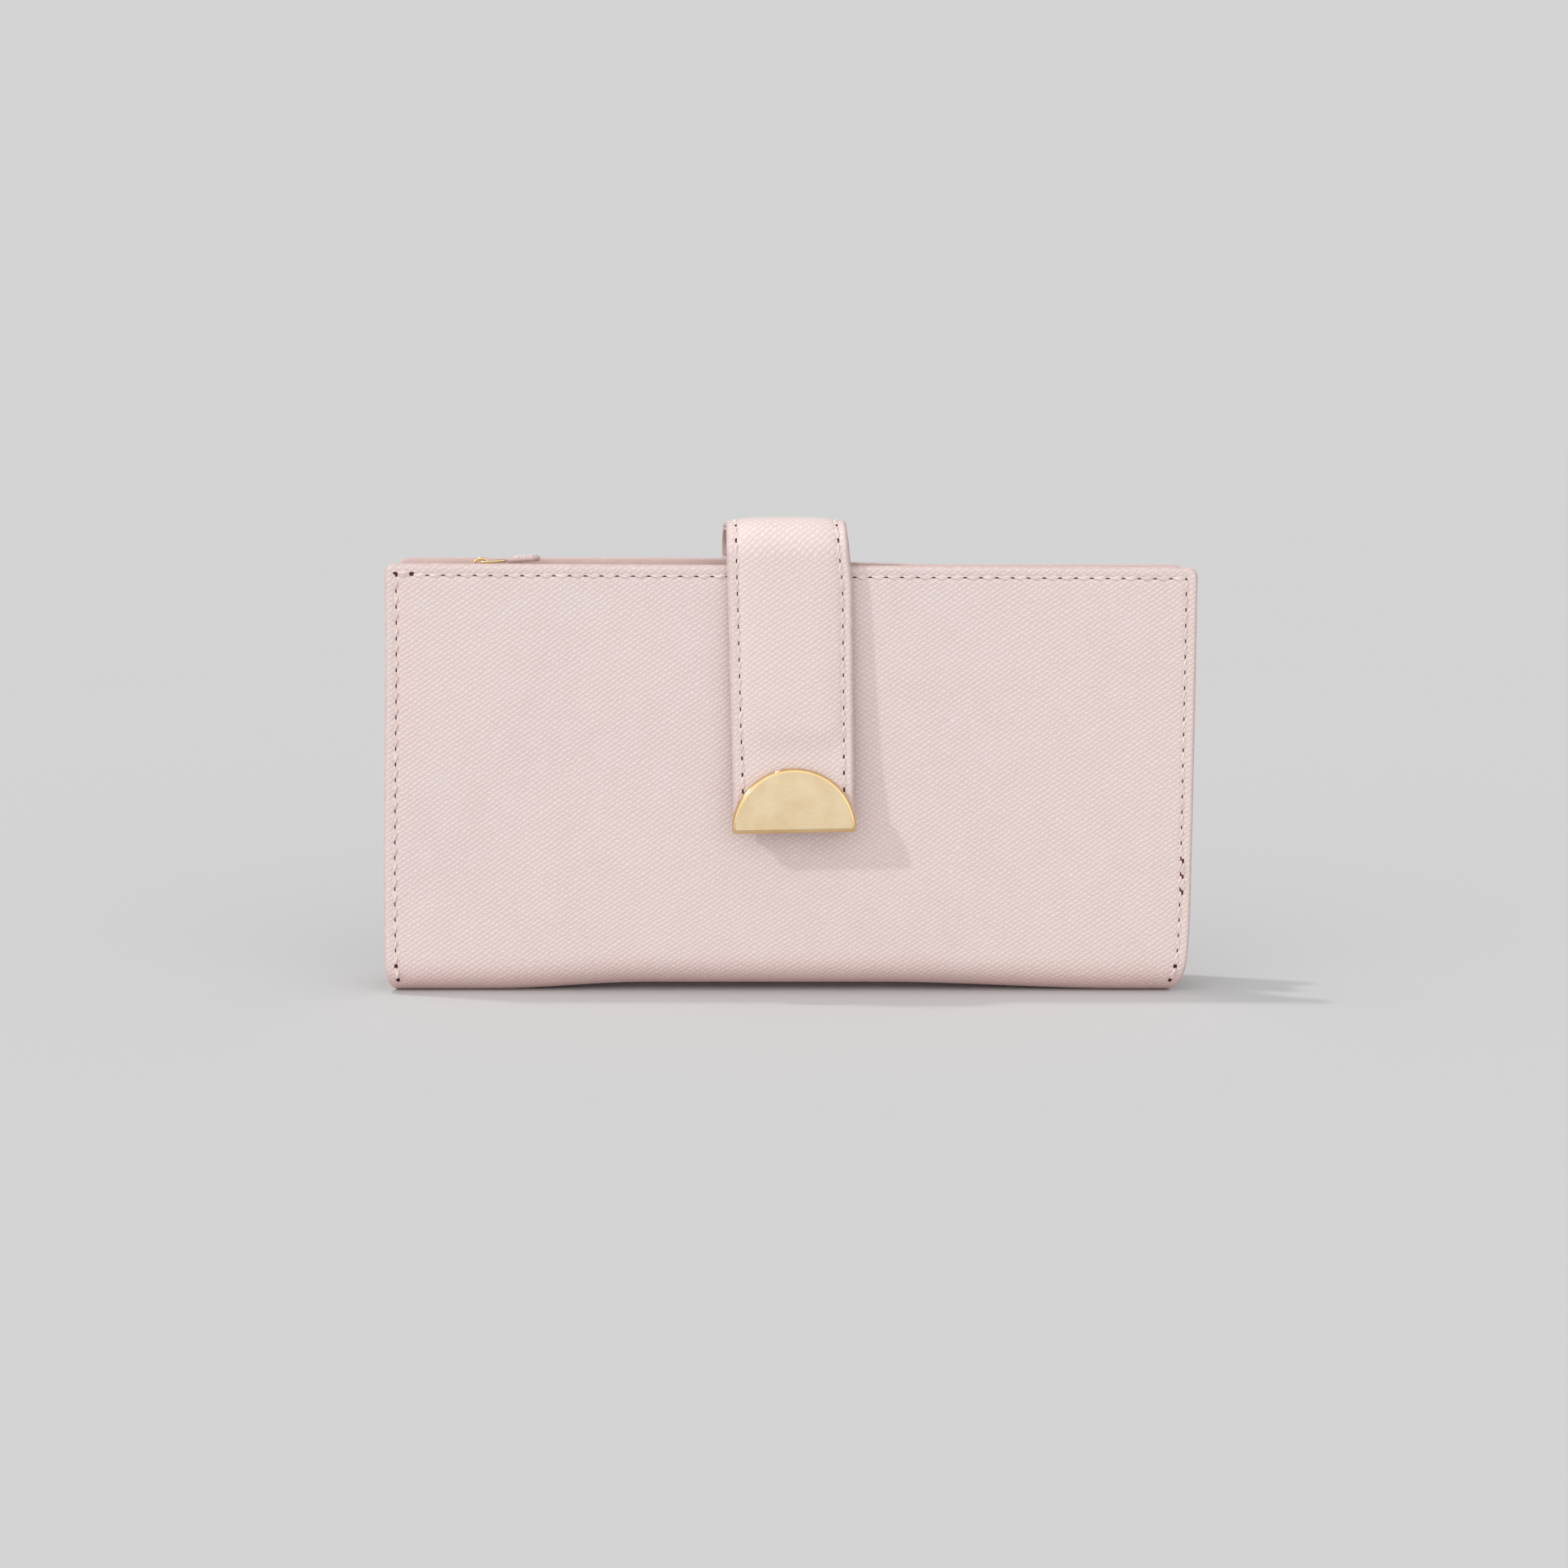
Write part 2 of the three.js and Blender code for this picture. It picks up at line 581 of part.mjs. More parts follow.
// The front leg in its own frame: X across it, -Z down it, -Y outwards, and the origin where its
// inner face leaves the arch.
function legOutline(inset, top) {
  const topHalf = (STRAP_ROOT_HALF_WIDTH + STRAP_TIP_HALF_WIDTH) / 2 - inset;
  const tipHalf = STRAP_TIP_HALF_WIDTH - inset;
  const end = -STRAP_LEG + inset;
  return polygon([
    [-tipHalf, end],
    [tipHalf, end],
    [topHalf, top],
    [-topHalf, top],
  ]);
}

function legLayer([from, to], inset = 0) {
  return slab(legOutline(inset, -LOOSE), -to, -from);
}

// A half-moon with short straight sides and a flat bottom.
function plateOutline(bottom) {
  const radius = PLATE_WIDTH / 2;
  const shape = new THREE.Shape();
  shape.moveTo(-radius, bottom);
  shape.lineTo(radius, bottom);
  shape.absarc(0, bottom + PLATE_HEIGHT - radius, radius, 0, Math.PI, false);
  shape.closePath();
  return shape;
}

function makeStrapTip() {
  const tip = new THREE.Group();
  tip.position.set(0, LEG_TOP_Y, LEG_TOP_Z);
  tip.rotation.set(radians(-STRAP_SLANT), radians(-STRAP_LEAN), 0);

  const snap = -STRAP_LEG + SNAP_HEIGHT;
  const postSides = [['left', -PLATE_POST_OFFSET], ['right', PLATE_POST_OFFSET]];
  const through = (radius, x) => disc(radius, -STRAP_THICKNESS - 1, 1, x, snap);

  const postHoles = postSides.map(([, x]) => through(PLATE_POST_RADIUS + LOOSE, x));
  const leather = cut(legLayer(STRAP_LEATHER), ...postHoles);
  add(tip, 'strap_tip_leather', leather, GRAIN_LEATHER);

  const washerHoles = postSides.map(([, x]) => through(WASHER_RADIUS + LOOSE, x));
  const capHole = through(RIVET_HEAD_RADIUS + LOOSE, 0);
  const padding = cut(legLayer(STRAP_PADDING, PADDING_INSET), capHole, ...washerHoles);
  add(tip, 'strap_tip_padding', padding, PADDING);
  const lining = cut(legLayer(STRAP_LINING), through(RIVET_RADIUS + LOOSE, 0));
  add(tip, 'strap_tip_lining', lining, LINING_LEATHER);

  // The plate and the two posts cast on its back, each held by a washer inside the strap.
  const plateFar = -STRAP_THICKNESS - GAP;
  const plateNear = plateFar - PLATE_THICKNESS;
  const posts = postSides.map(([, x]) => disc(PLATE_POST_RADIUS, plateNear + 1, POST_END, x, snap));
  const plate = join(slab(plateOutline(-STRAP_LEG), plateNear, plateFar), ...posts);
  add(tip, 'half_moon_plate', plate, GOLD);
  for (const [side, x] of postSides) {
    const bore = PLATE_POST_RADIUS + LOOSE;
    const [near, far] = CAP_LAYER;
    const profile = [[bore, near], [WASHER_RADIUS, near], [WASHER_RADIUS, far], [bore, far]];
    add(tip, `plate_washer_${side}`, turned(profile, x, snap), GOLD);
  }

  // The snap's socket on the inner face, riveted through the lining from a cap inside the strap.
  const socket = turned(
    [
      [RIVET_RADIUS + LOOSE, GAP],
      [SOCKET_RADIUS, GAP],
      [SOCKET_RADIUS, SOCKET_DEPTH],
      [SOCKET_MOUTH, SOCKET_DEPTH],
      [SOCKET_MOUTH, SOCKET_FLOOR],
      [RIVET_RADIUS + LOOSE, SOCKET_FLOOR],
    ],
    0,
    snap,
  );
  add(tip, 'strap_snap_socket', socket, GOLD);
  const cap = join(
    disc(RIVET_HEAD_RADIUS, ...CAP_LAYER, 0, snap),
    disc(RIVET_RADIUS, -0.9, CAP_RIVET_END, 0, snap),
  );
  add(tip, 'strap_snap_cap', cap, GOLD);

  // A line of stitching down each side, between the arch and the plate.
  const threadBottom = -STRAP_LEG + PLATE_HEIGHT + 1;
  for (const [side, sign] of [['left', -1], ['right', 1]]) {
    const middle = sign * (STRAP_TIP_HALF_WIDTH - STRAP_STITCH_INSET);
    const run = block(
      middle - THREAD_WIDTH / 2,
      middle + THREAD_WIDTH / 2,
      -STRAP_THICKNESS - GAP - THREAD_HEIGHT,
      -STRAP_THICKNESS - GAP,
      threadBottom,
      -1,
    );
    add(tip, `strap_thread_${side}`, run, THREAD);
  }
  return tip;
}

// ---------------------------------------------------------------- zip slider and pull

function makeSlider() {
  const slider = new THREE.Group();
  const near = POUCH_MIDDLE - SLIDER_HALF_WIDTH;
  const far = POUCH_MIDDLE + SLIDER_HALF_WIDTH;
  const shell = block(SLIDER_LEFT, SLIDER_RIGHT, near, far, SLIDER_SHELL_BOTTOM, SLIDER_SHELL_TOP);
  const flanges = [near, far - SLIDER_FLANGE].map((start) =>
    block(
      SLIDER_LEFT,
      SLIDER_RIGHT,
      start,
      start + SLIDER_FLANGE,
      SLIDER_FLANGE_BOTTOM,
      SLIDER_SHELL_BOTTOM + 0.2,
    ),
  );

  // The bridge that the pull's bar runs under: a flat-topped loop, open on both sides.
  const [hingeX] = PULL_HINGE;
  const bridgeLeft = hingeX - BRIDGE_LENGTH / 2;
  const bridgeRight = hingeX + BRIDGE_LENGTH / 2;
  const bridgeNear = POUCH_MIDDLE - BRIDGE_WIDTH / 2;
  const bridgeFar = POUCH_MIDDLE + BRIDGE_WIDTH / 2;
  const base = SLIDER_SHELL_TOP - 0.2;
  const loop = polygon([
    [bridgeLeft, base],
    [bridgeLeft + BRIDGE_WALL, base],
    [bridgeLeft + BRIDGE_WALL, BRIDGE_TOP - BRIDGE_WALL],
    [bridgeRight - BRIDGE_WALL, BRIDGE_TOP - BRIDGE_WALL],
    [bridgeRight - BRIDGE_WALL, base],
    [bridgeRight, base],
    [bridgeRight, BRIDGE_TOP],
    [bridgeLeft, BRIDGE_TOP],
  ]);
  add(slider, 'zip_slider', join(shell, ...flanges, slab(loop, bridgeNear, bridgeFar)), GOLD);
  return slider;
}

// The pull in its own frame: its hinge bar along Y at the origin, and the tab out along +X.
function makePull() {
  const pull = new THREE.Group();
  pull.position.set(...PULL_HINGE);
  pull.rotation.y = radians(-PULL_RISE);

  const half = LINK_THICKNESS / 2;
  const side = LINK_HALF_WIDTH - LINK_WALL;
  const frame = cut(
    block(-LINK_BACK, LINK_LENGTH, -LINK_HALF_WIDTH, LINK_HALF_WIDTH, -half, half),
    block(-1, LINK_LENGTH - LINK_SLOT_START - LINK_BAR_WIDTH, -side, side, -1, 1),
    block(LINK_LENGTH - LINK_SLOT_START, LINK_LENGTH - LINK_SLOT_END, -side, side, -1, 1),
  );
  const bar = disc(PULL_BAR_RADIUS, -LINK_HALF_WIDTH + 0.2, LINK_HALF_WIDTH - 0.2, 0, 0, 12);
  add(pull, 'zip_pull_link', join(frame, bar), GOLD);

  const tab = block(
    LINK_LENGTH + LOOSE,
    LINK_LENGTH + LOOSE + TAB_LENGTH,
    -TAB_WIDTH / 2,
    TAB_WIDTH / 2,
    -TAB_THICKNESS / 2,
    TAB_THICKNESS / 2,
  );
  add(pull, 'zip_pull_tab', tab, GRAIN_LEATHER);
  return pull;
}

// ---------------------------------------------------------------- the wallet

const wallet = new THREE.Group();
wallet.add(
  makeSpine(),
  makeFrontCover(),
  makeBackCover(),
  makeStrapArch(),
  makeStrapTip(),
  makeSlider(),
  makePull(),
);

export default wallet;
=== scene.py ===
import math

import bmesh
import bpy
import numpy as np
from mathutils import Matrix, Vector


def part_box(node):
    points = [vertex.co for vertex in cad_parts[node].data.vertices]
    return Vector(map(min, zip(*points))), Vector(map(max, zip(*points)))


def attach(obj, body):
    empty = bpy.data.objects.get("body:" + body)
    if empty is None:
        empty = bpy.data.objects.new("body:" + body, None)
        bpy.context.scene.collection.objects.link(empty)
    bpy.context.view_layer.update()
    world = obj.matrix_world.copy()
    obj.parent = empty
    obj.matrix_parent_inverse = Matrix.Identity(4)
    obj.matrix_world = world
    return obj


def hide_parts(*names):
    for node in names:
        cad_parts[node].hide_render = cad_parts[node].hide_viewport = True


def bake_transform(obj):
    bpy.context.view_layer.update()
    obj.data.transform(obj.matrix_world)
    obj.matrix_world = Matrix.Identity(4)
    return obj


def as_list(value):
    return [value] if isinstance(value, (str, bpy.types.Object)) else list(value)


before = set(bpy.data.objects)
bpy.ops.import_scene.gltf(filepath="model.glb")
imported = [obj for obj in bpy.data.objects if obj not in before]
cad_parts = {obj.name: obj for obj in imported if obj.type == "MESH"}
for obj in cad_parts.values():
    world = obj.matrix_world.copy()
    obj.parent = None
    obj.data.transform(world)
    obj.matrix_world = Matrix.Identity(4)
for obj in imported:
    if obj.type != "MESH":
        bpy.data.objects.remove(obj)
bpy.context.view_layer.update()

# Shapes are worked out in millimetres, in the frame's axes, and stored in metres.
MM = 0.001

# ------------------------------------------------------------------ driving dimensions

HALF_LENGTH = 84.0          # of both leaves, along X
HALF_DEPTH = 11.0           # from the middle to the outer face of a leaf
FRONT_TOP = 90.0
BACK_TOP = 90.4
LEAF_CORNER = 2.0
SPINE_RADIUS = 6.0          # outer radius of each rounded lower edge
SPINE_FOOT = HALF_DEPTH - SPINE_RADIUS
FOLD_ARCH = 1.5             # how far the middle of the lower fold stands off the floor
LEATHER = 1.2
RIM = 1.0                   # extra thickness of the leaf's turned edge, round the board
RIM_WIDTH = 3.2
BOARD_BOTTOM = 11.2
LINING = 0.6
GAP = 0.1
SEAM_INSET = 2.4
STITCH = 3.28               # from one needle hole to the next
THREAD_RADIUS = 0.24        # of each of the thread's two plies

LEFT_SPREAD = 1.4           # how far the cover widens towards its lower left corner
LEFT_TUCK = 1.5             # how far the fold draws in the cover's ends
RIGHT_TUCK = 3.2
POCKET_SEAM_INSET = 1.6
POCKET_SEAM_TOP = 1.4
POCKET_STITCH = 2.6

STRAP_SPAN = 11.45          # from the middle plane to the strap's inner faces
SHOULDER_RADIUS = 5.2
SHOULDER_Z = 91.4
STRAP_ROOT_BOTTOM = 50.0
STRAP_LEG = 56.3
STRAP_SLANT = math.radians(2.4)
STRAP_LEAN = math.radians(1.04)
STRAP_FLANGE = 2.0          # thickness at the strap's stitched edges
STRAP_DOME = 0.85           # how far its padded middle stands above them
STRAP_LINING = 0.65
STRAP_PINCH = 1.5           # how far its right edge is drawn in over the arch
STRAP_SEAM_INSET = 2.1
STRAP_AT_PLATE = 2.5        # thickness under the plate

PLATE_RADIUS = 12.9
PLATE_HEIGHT = 13.4
PLATE_GAP = 0.1
PLATE_DROP = 0.55           # of its straight edge below the strap's end

CHAIN_MIDDLE = 3.5          # the zip's middle plane, in Y
CHAIN_HALF_LENGTH = 76.0
TOOTH_PITCH = 2.4
TOOTH_HALF = (0.62, 1.0, 0.55)
TOOTH_OFFSET = 0.58         # of each row's middle from the zip's middle plane
TAPE = 0.4
SHELL_Z = 89.0              # middle of the slider's flat shell
PULL_HINGE = (-65.5, 3.5, 89.9)
PULL_RISE = math.radians(4)
TAB_START = 5.8             # of the leather tab, from the pull's hinge
TAB_LENGTH = 6.6
TAB_HALF_WIDTH = 2.15
TAB_SEAM_INSET = 0.75

FLOOR_HALF = 40000.0
CAMERA_PLACE = (-1.5, -558, 109.6)
CAMERA_PITCH = math.radians(6.8)
CAMERA_FIELD = math.radians(33)


# ------------------------------------------------------------------ small maths

def smoothstep(value, low, high):
    t = np.clip((np.asarray(value, float) - low) / (high - low), 0, 1)
    return t * t * (3 - 2 * t)


def bell(value, middle, width):
    return np.exp(-(((np.asarray(value, float) - middle) / width) ** 2))


def unit(vectors):
    return vectors / np.maximum(np.linalg.norm(vectors, axis=-1, keepdims=True), 1e-12)


def spread(low, high, step):
    return np.linspace(low, high, max(1, int(round((high - low) / step))) + 1)


# ------------------------------------------------------------------ mesh helpers

def new_object(name, points, faces, material, sharp=50.0, attributes=None):
    """A mesh object from points in millimetres, shaded smooth except where it turns sharply."""
    mesh = bpy.data.meshes.new(name)
    mesh.from_pydata((np.asarray(points) * MM).tolist(), [], faces)
    for key, values in (attributes or {}).items():
        values = np.asarray(values, np.float32)
        kind, field = ("FLOAT_VECTOR", "vector") if values.ndim == 2 else ("FLOAT", "value")
        mesh.attributes.new(key, kind, "POINT").data.foreach_set(field, values.ravel())
    shape = bmesh.new()
    shape.from_mesh(mesh)
    bmesh.ops.recalc_face_normals(shape, faces=shape.faces)
    for face in shape.faces:
        face.smooth = True
    for edge in shape.edges:
        if len(edge.link_faces) == 2 and edge.calc_face_angle(0) > math.radians(sharp):
            edge.smooth = False
    shape.to_mesh(mesh)
    shape.free()
    piece = bpy.data.objects.new(name, mesh)
    bpy.context.scene.collection.objects.link(piece)
    mesh.materials.append(material)
    return piece


def fasten(piece, slot, body, *nodes):
    """Gives a piece its body, and lets it stand for CAD nodes, which it hides. The slot is not used."""
    if nodes:
        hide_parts(*nodes)
    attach(piece, body)


def merged(parts):
    """Several (points, faces) as one."""
    points, faces, base = [], [], 0
    for some, polygons in parts:
        points.append(some)
        faces += [[base + i for i in polygon] for polygon in polygons]
        base += len(some)
    return np.concatenate(points), faces


def tube(path, radius, sides=8, closed=False):
    """Points and faces of a round bar along a path."""
    path = np.asarray(path, float)
    count = len(path)
    if closed:
        ahead = unit(np.roll(path, -1, axis=0) - np.roll(path, 1, axis=0))
    else:
        ahead = unit(np.gradient(path, axis=0))
    radius = np.broadcast_to(np.asarray(radius, float), (count,))
    ring = np.linspace(0, 2 * math.pi, sides, endpoint=False)
    side = np.cross(ahead[0], [0.13, 0.31, 0.94])
    points = []
    for centre, direction, r in zip(path, ahead, radius):
        side = unit(side - direction * np.dot(side, direction))
        other = np.cross(direction, side)
        points += [centre + r * (math.cos(w) * side + math.sin(w) * other) for w in ring]
    faces = []
    for i in range(count if closed else count - 1):
        a, b = i * sides, (i + 1) % count * sides
        faces += [[a + k, a + (k + 1) % sides, b + (k + 1) % sides, b + k] for k in range(sides)]
    if not closed:
        faces.append(list(range(sides))[::-1])
        faces.append(list(range((count - 1) * sides, count * sides)))
    return np.array(points), faces


def layered(outlines, heights):
    """A closed body from outlines of equal length, one above the other along Z."""
    count = len(outlines[0])
    points = [(x, y, z) for outline, z in zip(outlines, heights) for x, y in outline]
    faces = []
    for level in range(len(outlines) - 1):
        a, b = level * count, (level + 1) * count
        for k in range(count):
            after = (k + 1) % count
            faces.append([a + k, a + after, b + after, b + k])
    faces.append(list(range(count))[::-1])
    faces.append(list(range((len(outlines) - 1) * count, len(outlines) * count)))
    return np.array(points, float), faces


def rounded_rectangle(half_x, half_y, radius, steps=4):
    points = []
    for sx, sy, start in ((1, 1, 0), (-1, 1, 90), (-1, -1, 180), (1, -1, 270)):
        for k in range(steps + 1):
            w = math.radians(start + 90 * k / steps)
            x = sx * (half_x - radius) + radius * math.cos(w)
            y = sy * (half_y - radius) + radius * math.sin(w)
            points.append((x, y))
    return points


def rounded_block(half, radius, bevel, middle=(0, 0, 0), steps=4):
    """A block with rounded corners seen from above, and bevelled top and bottom edges."""
    hx, hy, hz = half
    full = rounded_rectangle(hx, hy, radius, steps)
    less = rounded_rectangle(hx - bevel, hy - bevel, max(radius - bevel, 0.05), steps)
    points, faces = layered([less, full, full, less], [-hz, -hz + bevel, hz - bevel, hz])
    return points + np.array(middle, float), faces


def fitted(parts, place):
    """The same body with every point (x, y, z) moved by place(x, y, z)."""
    points, faces = parts
    return place(points[:, 0], points[:, 1], points[:, 2]), faces


class Sheet:
    """A closed sheet of leather or cloth, laid out flat and then placed in space.

    The flat cut runs from start to end along T, and from -left(t) to right(t) along X. Either may
    be a number, for a straight edge.
    place(x, t, d) gives the point at depth d, from -1 on the inner face to 1 on the outer one.
    The edges are rounded, except where the cut ends in a butt joint with another sheet.
    """

    def __init__(self, start, end, left, right, place, edge=0.4, butt=(), lines=(), step=(3, 3),
                 corner=0, corners=("end",), upward=1):
        self.start, self.end = start, end
        self.left, self.right = [
            side if callable(side) else (lambda t, half=side: half) for side in (left, right)
        ]
        self.place = place
        self.edge = edge
        self.butt = butt
        self.step = step
        self.corner = corner
        self.corners = corners
        self.upward = upward
        first = edge + 0.45
        self.offsets = np.array([0.0, first, *[line for line in sorted(lines) if line > first + 0.05]])

    def rows(self):
        low = np.array([self.start]) if "start" in self.butt else self.start + self.offsets
        high = np.array([self.end]) if "end" in self.butt else self.end - self.offsets[::-1]
        return np.concatenate([low, spread(low[-1], high[0], self.step[1])[1:-1], high])

    def columns(self, t, count):
        left, right = -float(self.left(t)), float(self.right(t))
        middle = np.linspace(left + self.offsets[-1], right - self.offsets[-1], count)
        return np.concatenate([left + self.offsets[:-1], middle, right - self.offsets[-2::-1]])

    def rounded(self, x, t):
        """Moves a point of the cut so that the cut's corners are round."""
        size = self.corner
        reach = float(self.left(t) if x < 0 else self.right(t))
        u = (abs(x) - (reach - size)) / size
        for key, end, way in (("end", self.end, 1), ("start", self.start, -1)):
            v = ((t - end) * way + size) / size
            if key in self.corners and u > 0 and v > 0:
                x = math.copysign(reach - size + size * u * math.sqrt(1 - v * v / 2), x)
                t = end - way * size + way * size * v * math.sqrt(1 - u * u / 2)
                return x, t
        return x, t

    def build(self, name, material, rim_steps=4):
        rows = self.rows()
        middle = (self.start + self.end) / 2
        width = float(self.left(middle)) + float(self.right(middle)) - 2 * self.offsets[-1]
        count = max(2, int(round(width / self.step[0])) + 1)
        grid = np.array([[(x, t) for x in self.columns(t, count)] for t in rows])
        if self.corner:
            grid = np.array([[self.rounded(x, t) for x, t in row] for row in grid])
        n_t, n_x = grid.shape[:2]

        around = [(0, j) for j in range(n_x)]
        around += [(i, n_x - 1) for i in range(1, n_t)]
        around += [(n_t - 1, j) for j in range(n_x - 2, -1, -1)]
        around += [(i, 0) for i in range(n_t - 2, 0, -1)]
        outline = np.array([grid[i, j] for i, j in around])
        ahead = unit(np.roll(outline, -1, axis=0) - outline)
        outward = np.stack([ahead[:, 1], -ahead[:, 0]], -1)
        outward = unit(outward + np.roll(outward, 1, axis=0))
        butted = np.zeros(len(around), bool)
        for k, (i, j) in enumerate(around):
            if (i == 0 and "start" in self.butt) or (i == n_t - 1 and "end" in self.butt):
                butted[k] = True
                outward[k] = (-1 if j == 0 else 1, 0) if j in (0, n_x - 1) else (0, 0)

        flat, depth, rim = [], [], []
        index = {}
        for side in (1, -1):
            for i in range(1, n_t - 1):
                for j in range(1, n_x - 1):
                    index[side, i, j] = len(flat)
                    flat.append(grid[i, j])
                    depth.append(side)
                    rim.append(0.0)
        loops = []
        for k in range(rim_steps + 1):
            turn = math.pi * k / rim_steps
            loop = outline - outward * self.edge * (1 - math.sin(turn))
            loops.append(list(range(len(flat), len(flat) + len(loop))))
            flat += list(loop)
            depth += [math.cos(turn)] * len(loop)
            level = 0.5 if k in (0, rim_steps) else 1.0
            rim += list(np.where(butted, 0.0, level))
        for k, (i, j) in enumerate(around):
            index[1, i, j] = loops[0][k]
            index[-1, i, j] = loops[-1][k]

        faces = []
        for i in range(n_t - 1):
            for j in range(n_x - 1):
                corners = [(i, j), (i, j + 1), (i + 1, j + 1), (i + 1, j)]
                faces.append([index[1, a, b] for a, b in corners])
                faces.append([index[-1, a, b] for a, b in reversed(corners)])
        for near, far in zip(loops, loops[1:]):
            for k in range(len(around)):
                after = (k + 1) % len(around)
                faces.append([near[k], far[k], far[after], near[after]])

        flat, depth = np.array(flat), np.array(depth, float)
        points = self.place(flat[:, 0], flat[:, 1], depth)
        marks = {
            "flat": np.column_stack([flat[:, 0], self.upward * flat[:, 1], depth]),
            "rim": np.array(rim),
        }
        return new_object(name, points, faces, material, attributes=marks)

    def surface(self, x, t):
        """Points and outward normals on the outer face."""
        x, t = np.atleast_1d(x).astype(float), np.atleast_1d(t).astype(float)
        outer = self.place(x, t, np.ones(len(x)))
        inner = self.place(x, t, -np.ones(len(x)))
        return outer, unit(outer - inner)

    def declare(self, piece, held, rests_on):
        rows = np.linspace(self.start, self.end, 40)
        widths = np.array([float(self.left(t)) + float(self.right(t)) for t in rows])
        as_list(rests_on)


# ------------------------------------------------------------------ materials

def srgb(*levels):
    """A colour from its sRGB levels, 0 to 255."""
    parts = [level / 255 for level in levels]
    return (*[c / 12.92 if c <= 0.04045 else ((c + 0.055) / 1.055) ** 2.4 for c in parts], 1.0)


class Nodes:
    """Short calls for building the node tree of a material or a world."""

    def __init__(self, owner):
        owner.use_nodes = True
        self.owner = owner
        self.tree = owner.node_tree
        self.shader = self.tree.nodes.get("Principled BSDF")

    def link(self, value, socket):
        if isinstance(value, bpy.types.NodeSocket):
            self.tree.links.new(value, socket)
        else:
            socket.default_value = value

    def math(self, operation, *values):
        node = self.tree.nodes.new("ShaderNodeMath")
        node.operation = operation
        for value, socket in zip(values, node.inputs):
            self.link(value, socket)
        return node.outputs[0]

    def times(self, a, b):
        return self.math("MULTIPLY", a, b)

    def plus(self, a, b):
        return self.math("ADD", a, b)

    def attribute(self, name, output):
        node = self.tree.nodes.new("ShaderNodeAttribute")
        node.attribute_name = name
        return node.outputs[output]

    def object_point(self):
        return self.tree.nodes.new("ShaderNodeTexCoord").outputs["Object"]

    def split(self, vector):
        node = self.tree.nodes.new("ShaderNodeSeparateXYZ")
        self.link(vector, node.inputs[0])
        return node.outputs

    def combine(self, *values):
        node = self.tree.nodes.new("ShaderNodeCombineXYZ")
        for value, socket in zip(values, node.inputs):
            self.link(value, socket)
        return node.outputs[0]

    def noise(self, vector, scale, detail=2.0):
        node = self.tree.nodes.new("ShaderNodeTexNoise")
        self.link(vector, node.inputs["Vector"])
        node.inputs["Scale"].default_value = scale
        node.inputs["Detail"].default_value = detail
        return node.outputs["Fac"]

    def ramp(self, value, low, high, to_low=0.0, to_high=1.0):
        node = self.tree.nodes.new("ShaderNodeMapRange")
        for key, setting in zip(("Value", "From Min", "From Max", "To Min", "To Max"),
                                (value, low, high, to_low, to_high)):
            self.link(setting, node.inputs[key])
        return node.outputs[0]

    def mix(self, factor, a, b):
        node = self.tree.nodes.new("ShaderNodeMix")
        node.data_type = "RGBA"
        for value, socket in zip((factor, a, b), (node.inputs[0], node.inputs[6], node.inputs[7])):
            self.link(value, socket)
        return node.outputs[2]

    def bump(self, height, distance, strength):
        node = self.tree.nodes.new("ShaderNodeBump")
        self.link(height, node.inputs["Height"])
        node.inputs["Distance"].default_value = distance
        node.inputs["Strength"].default_value = strength
        return node.outputs[0]

    def finish(self, **values):
        """Sets or links the shader's sockets, with spaces written as underscores."""
        for key, value in values.items():
            self.link(value, self.shader.inputs[key.replace("_", " ")])
        return self.owner


def new_material(name):
    return Nodes(bpy.data.materials.new(name))


GRAIN_ANGLE = math.radians(35)
GRAIN_SPACING = 0.87        # of the ridges
GRAIN_DASH = 1.15           # length of the dashes along them
GRAIN_STAGGER = 2.4         # how far the dashes step from ridge to ridge, as an angle


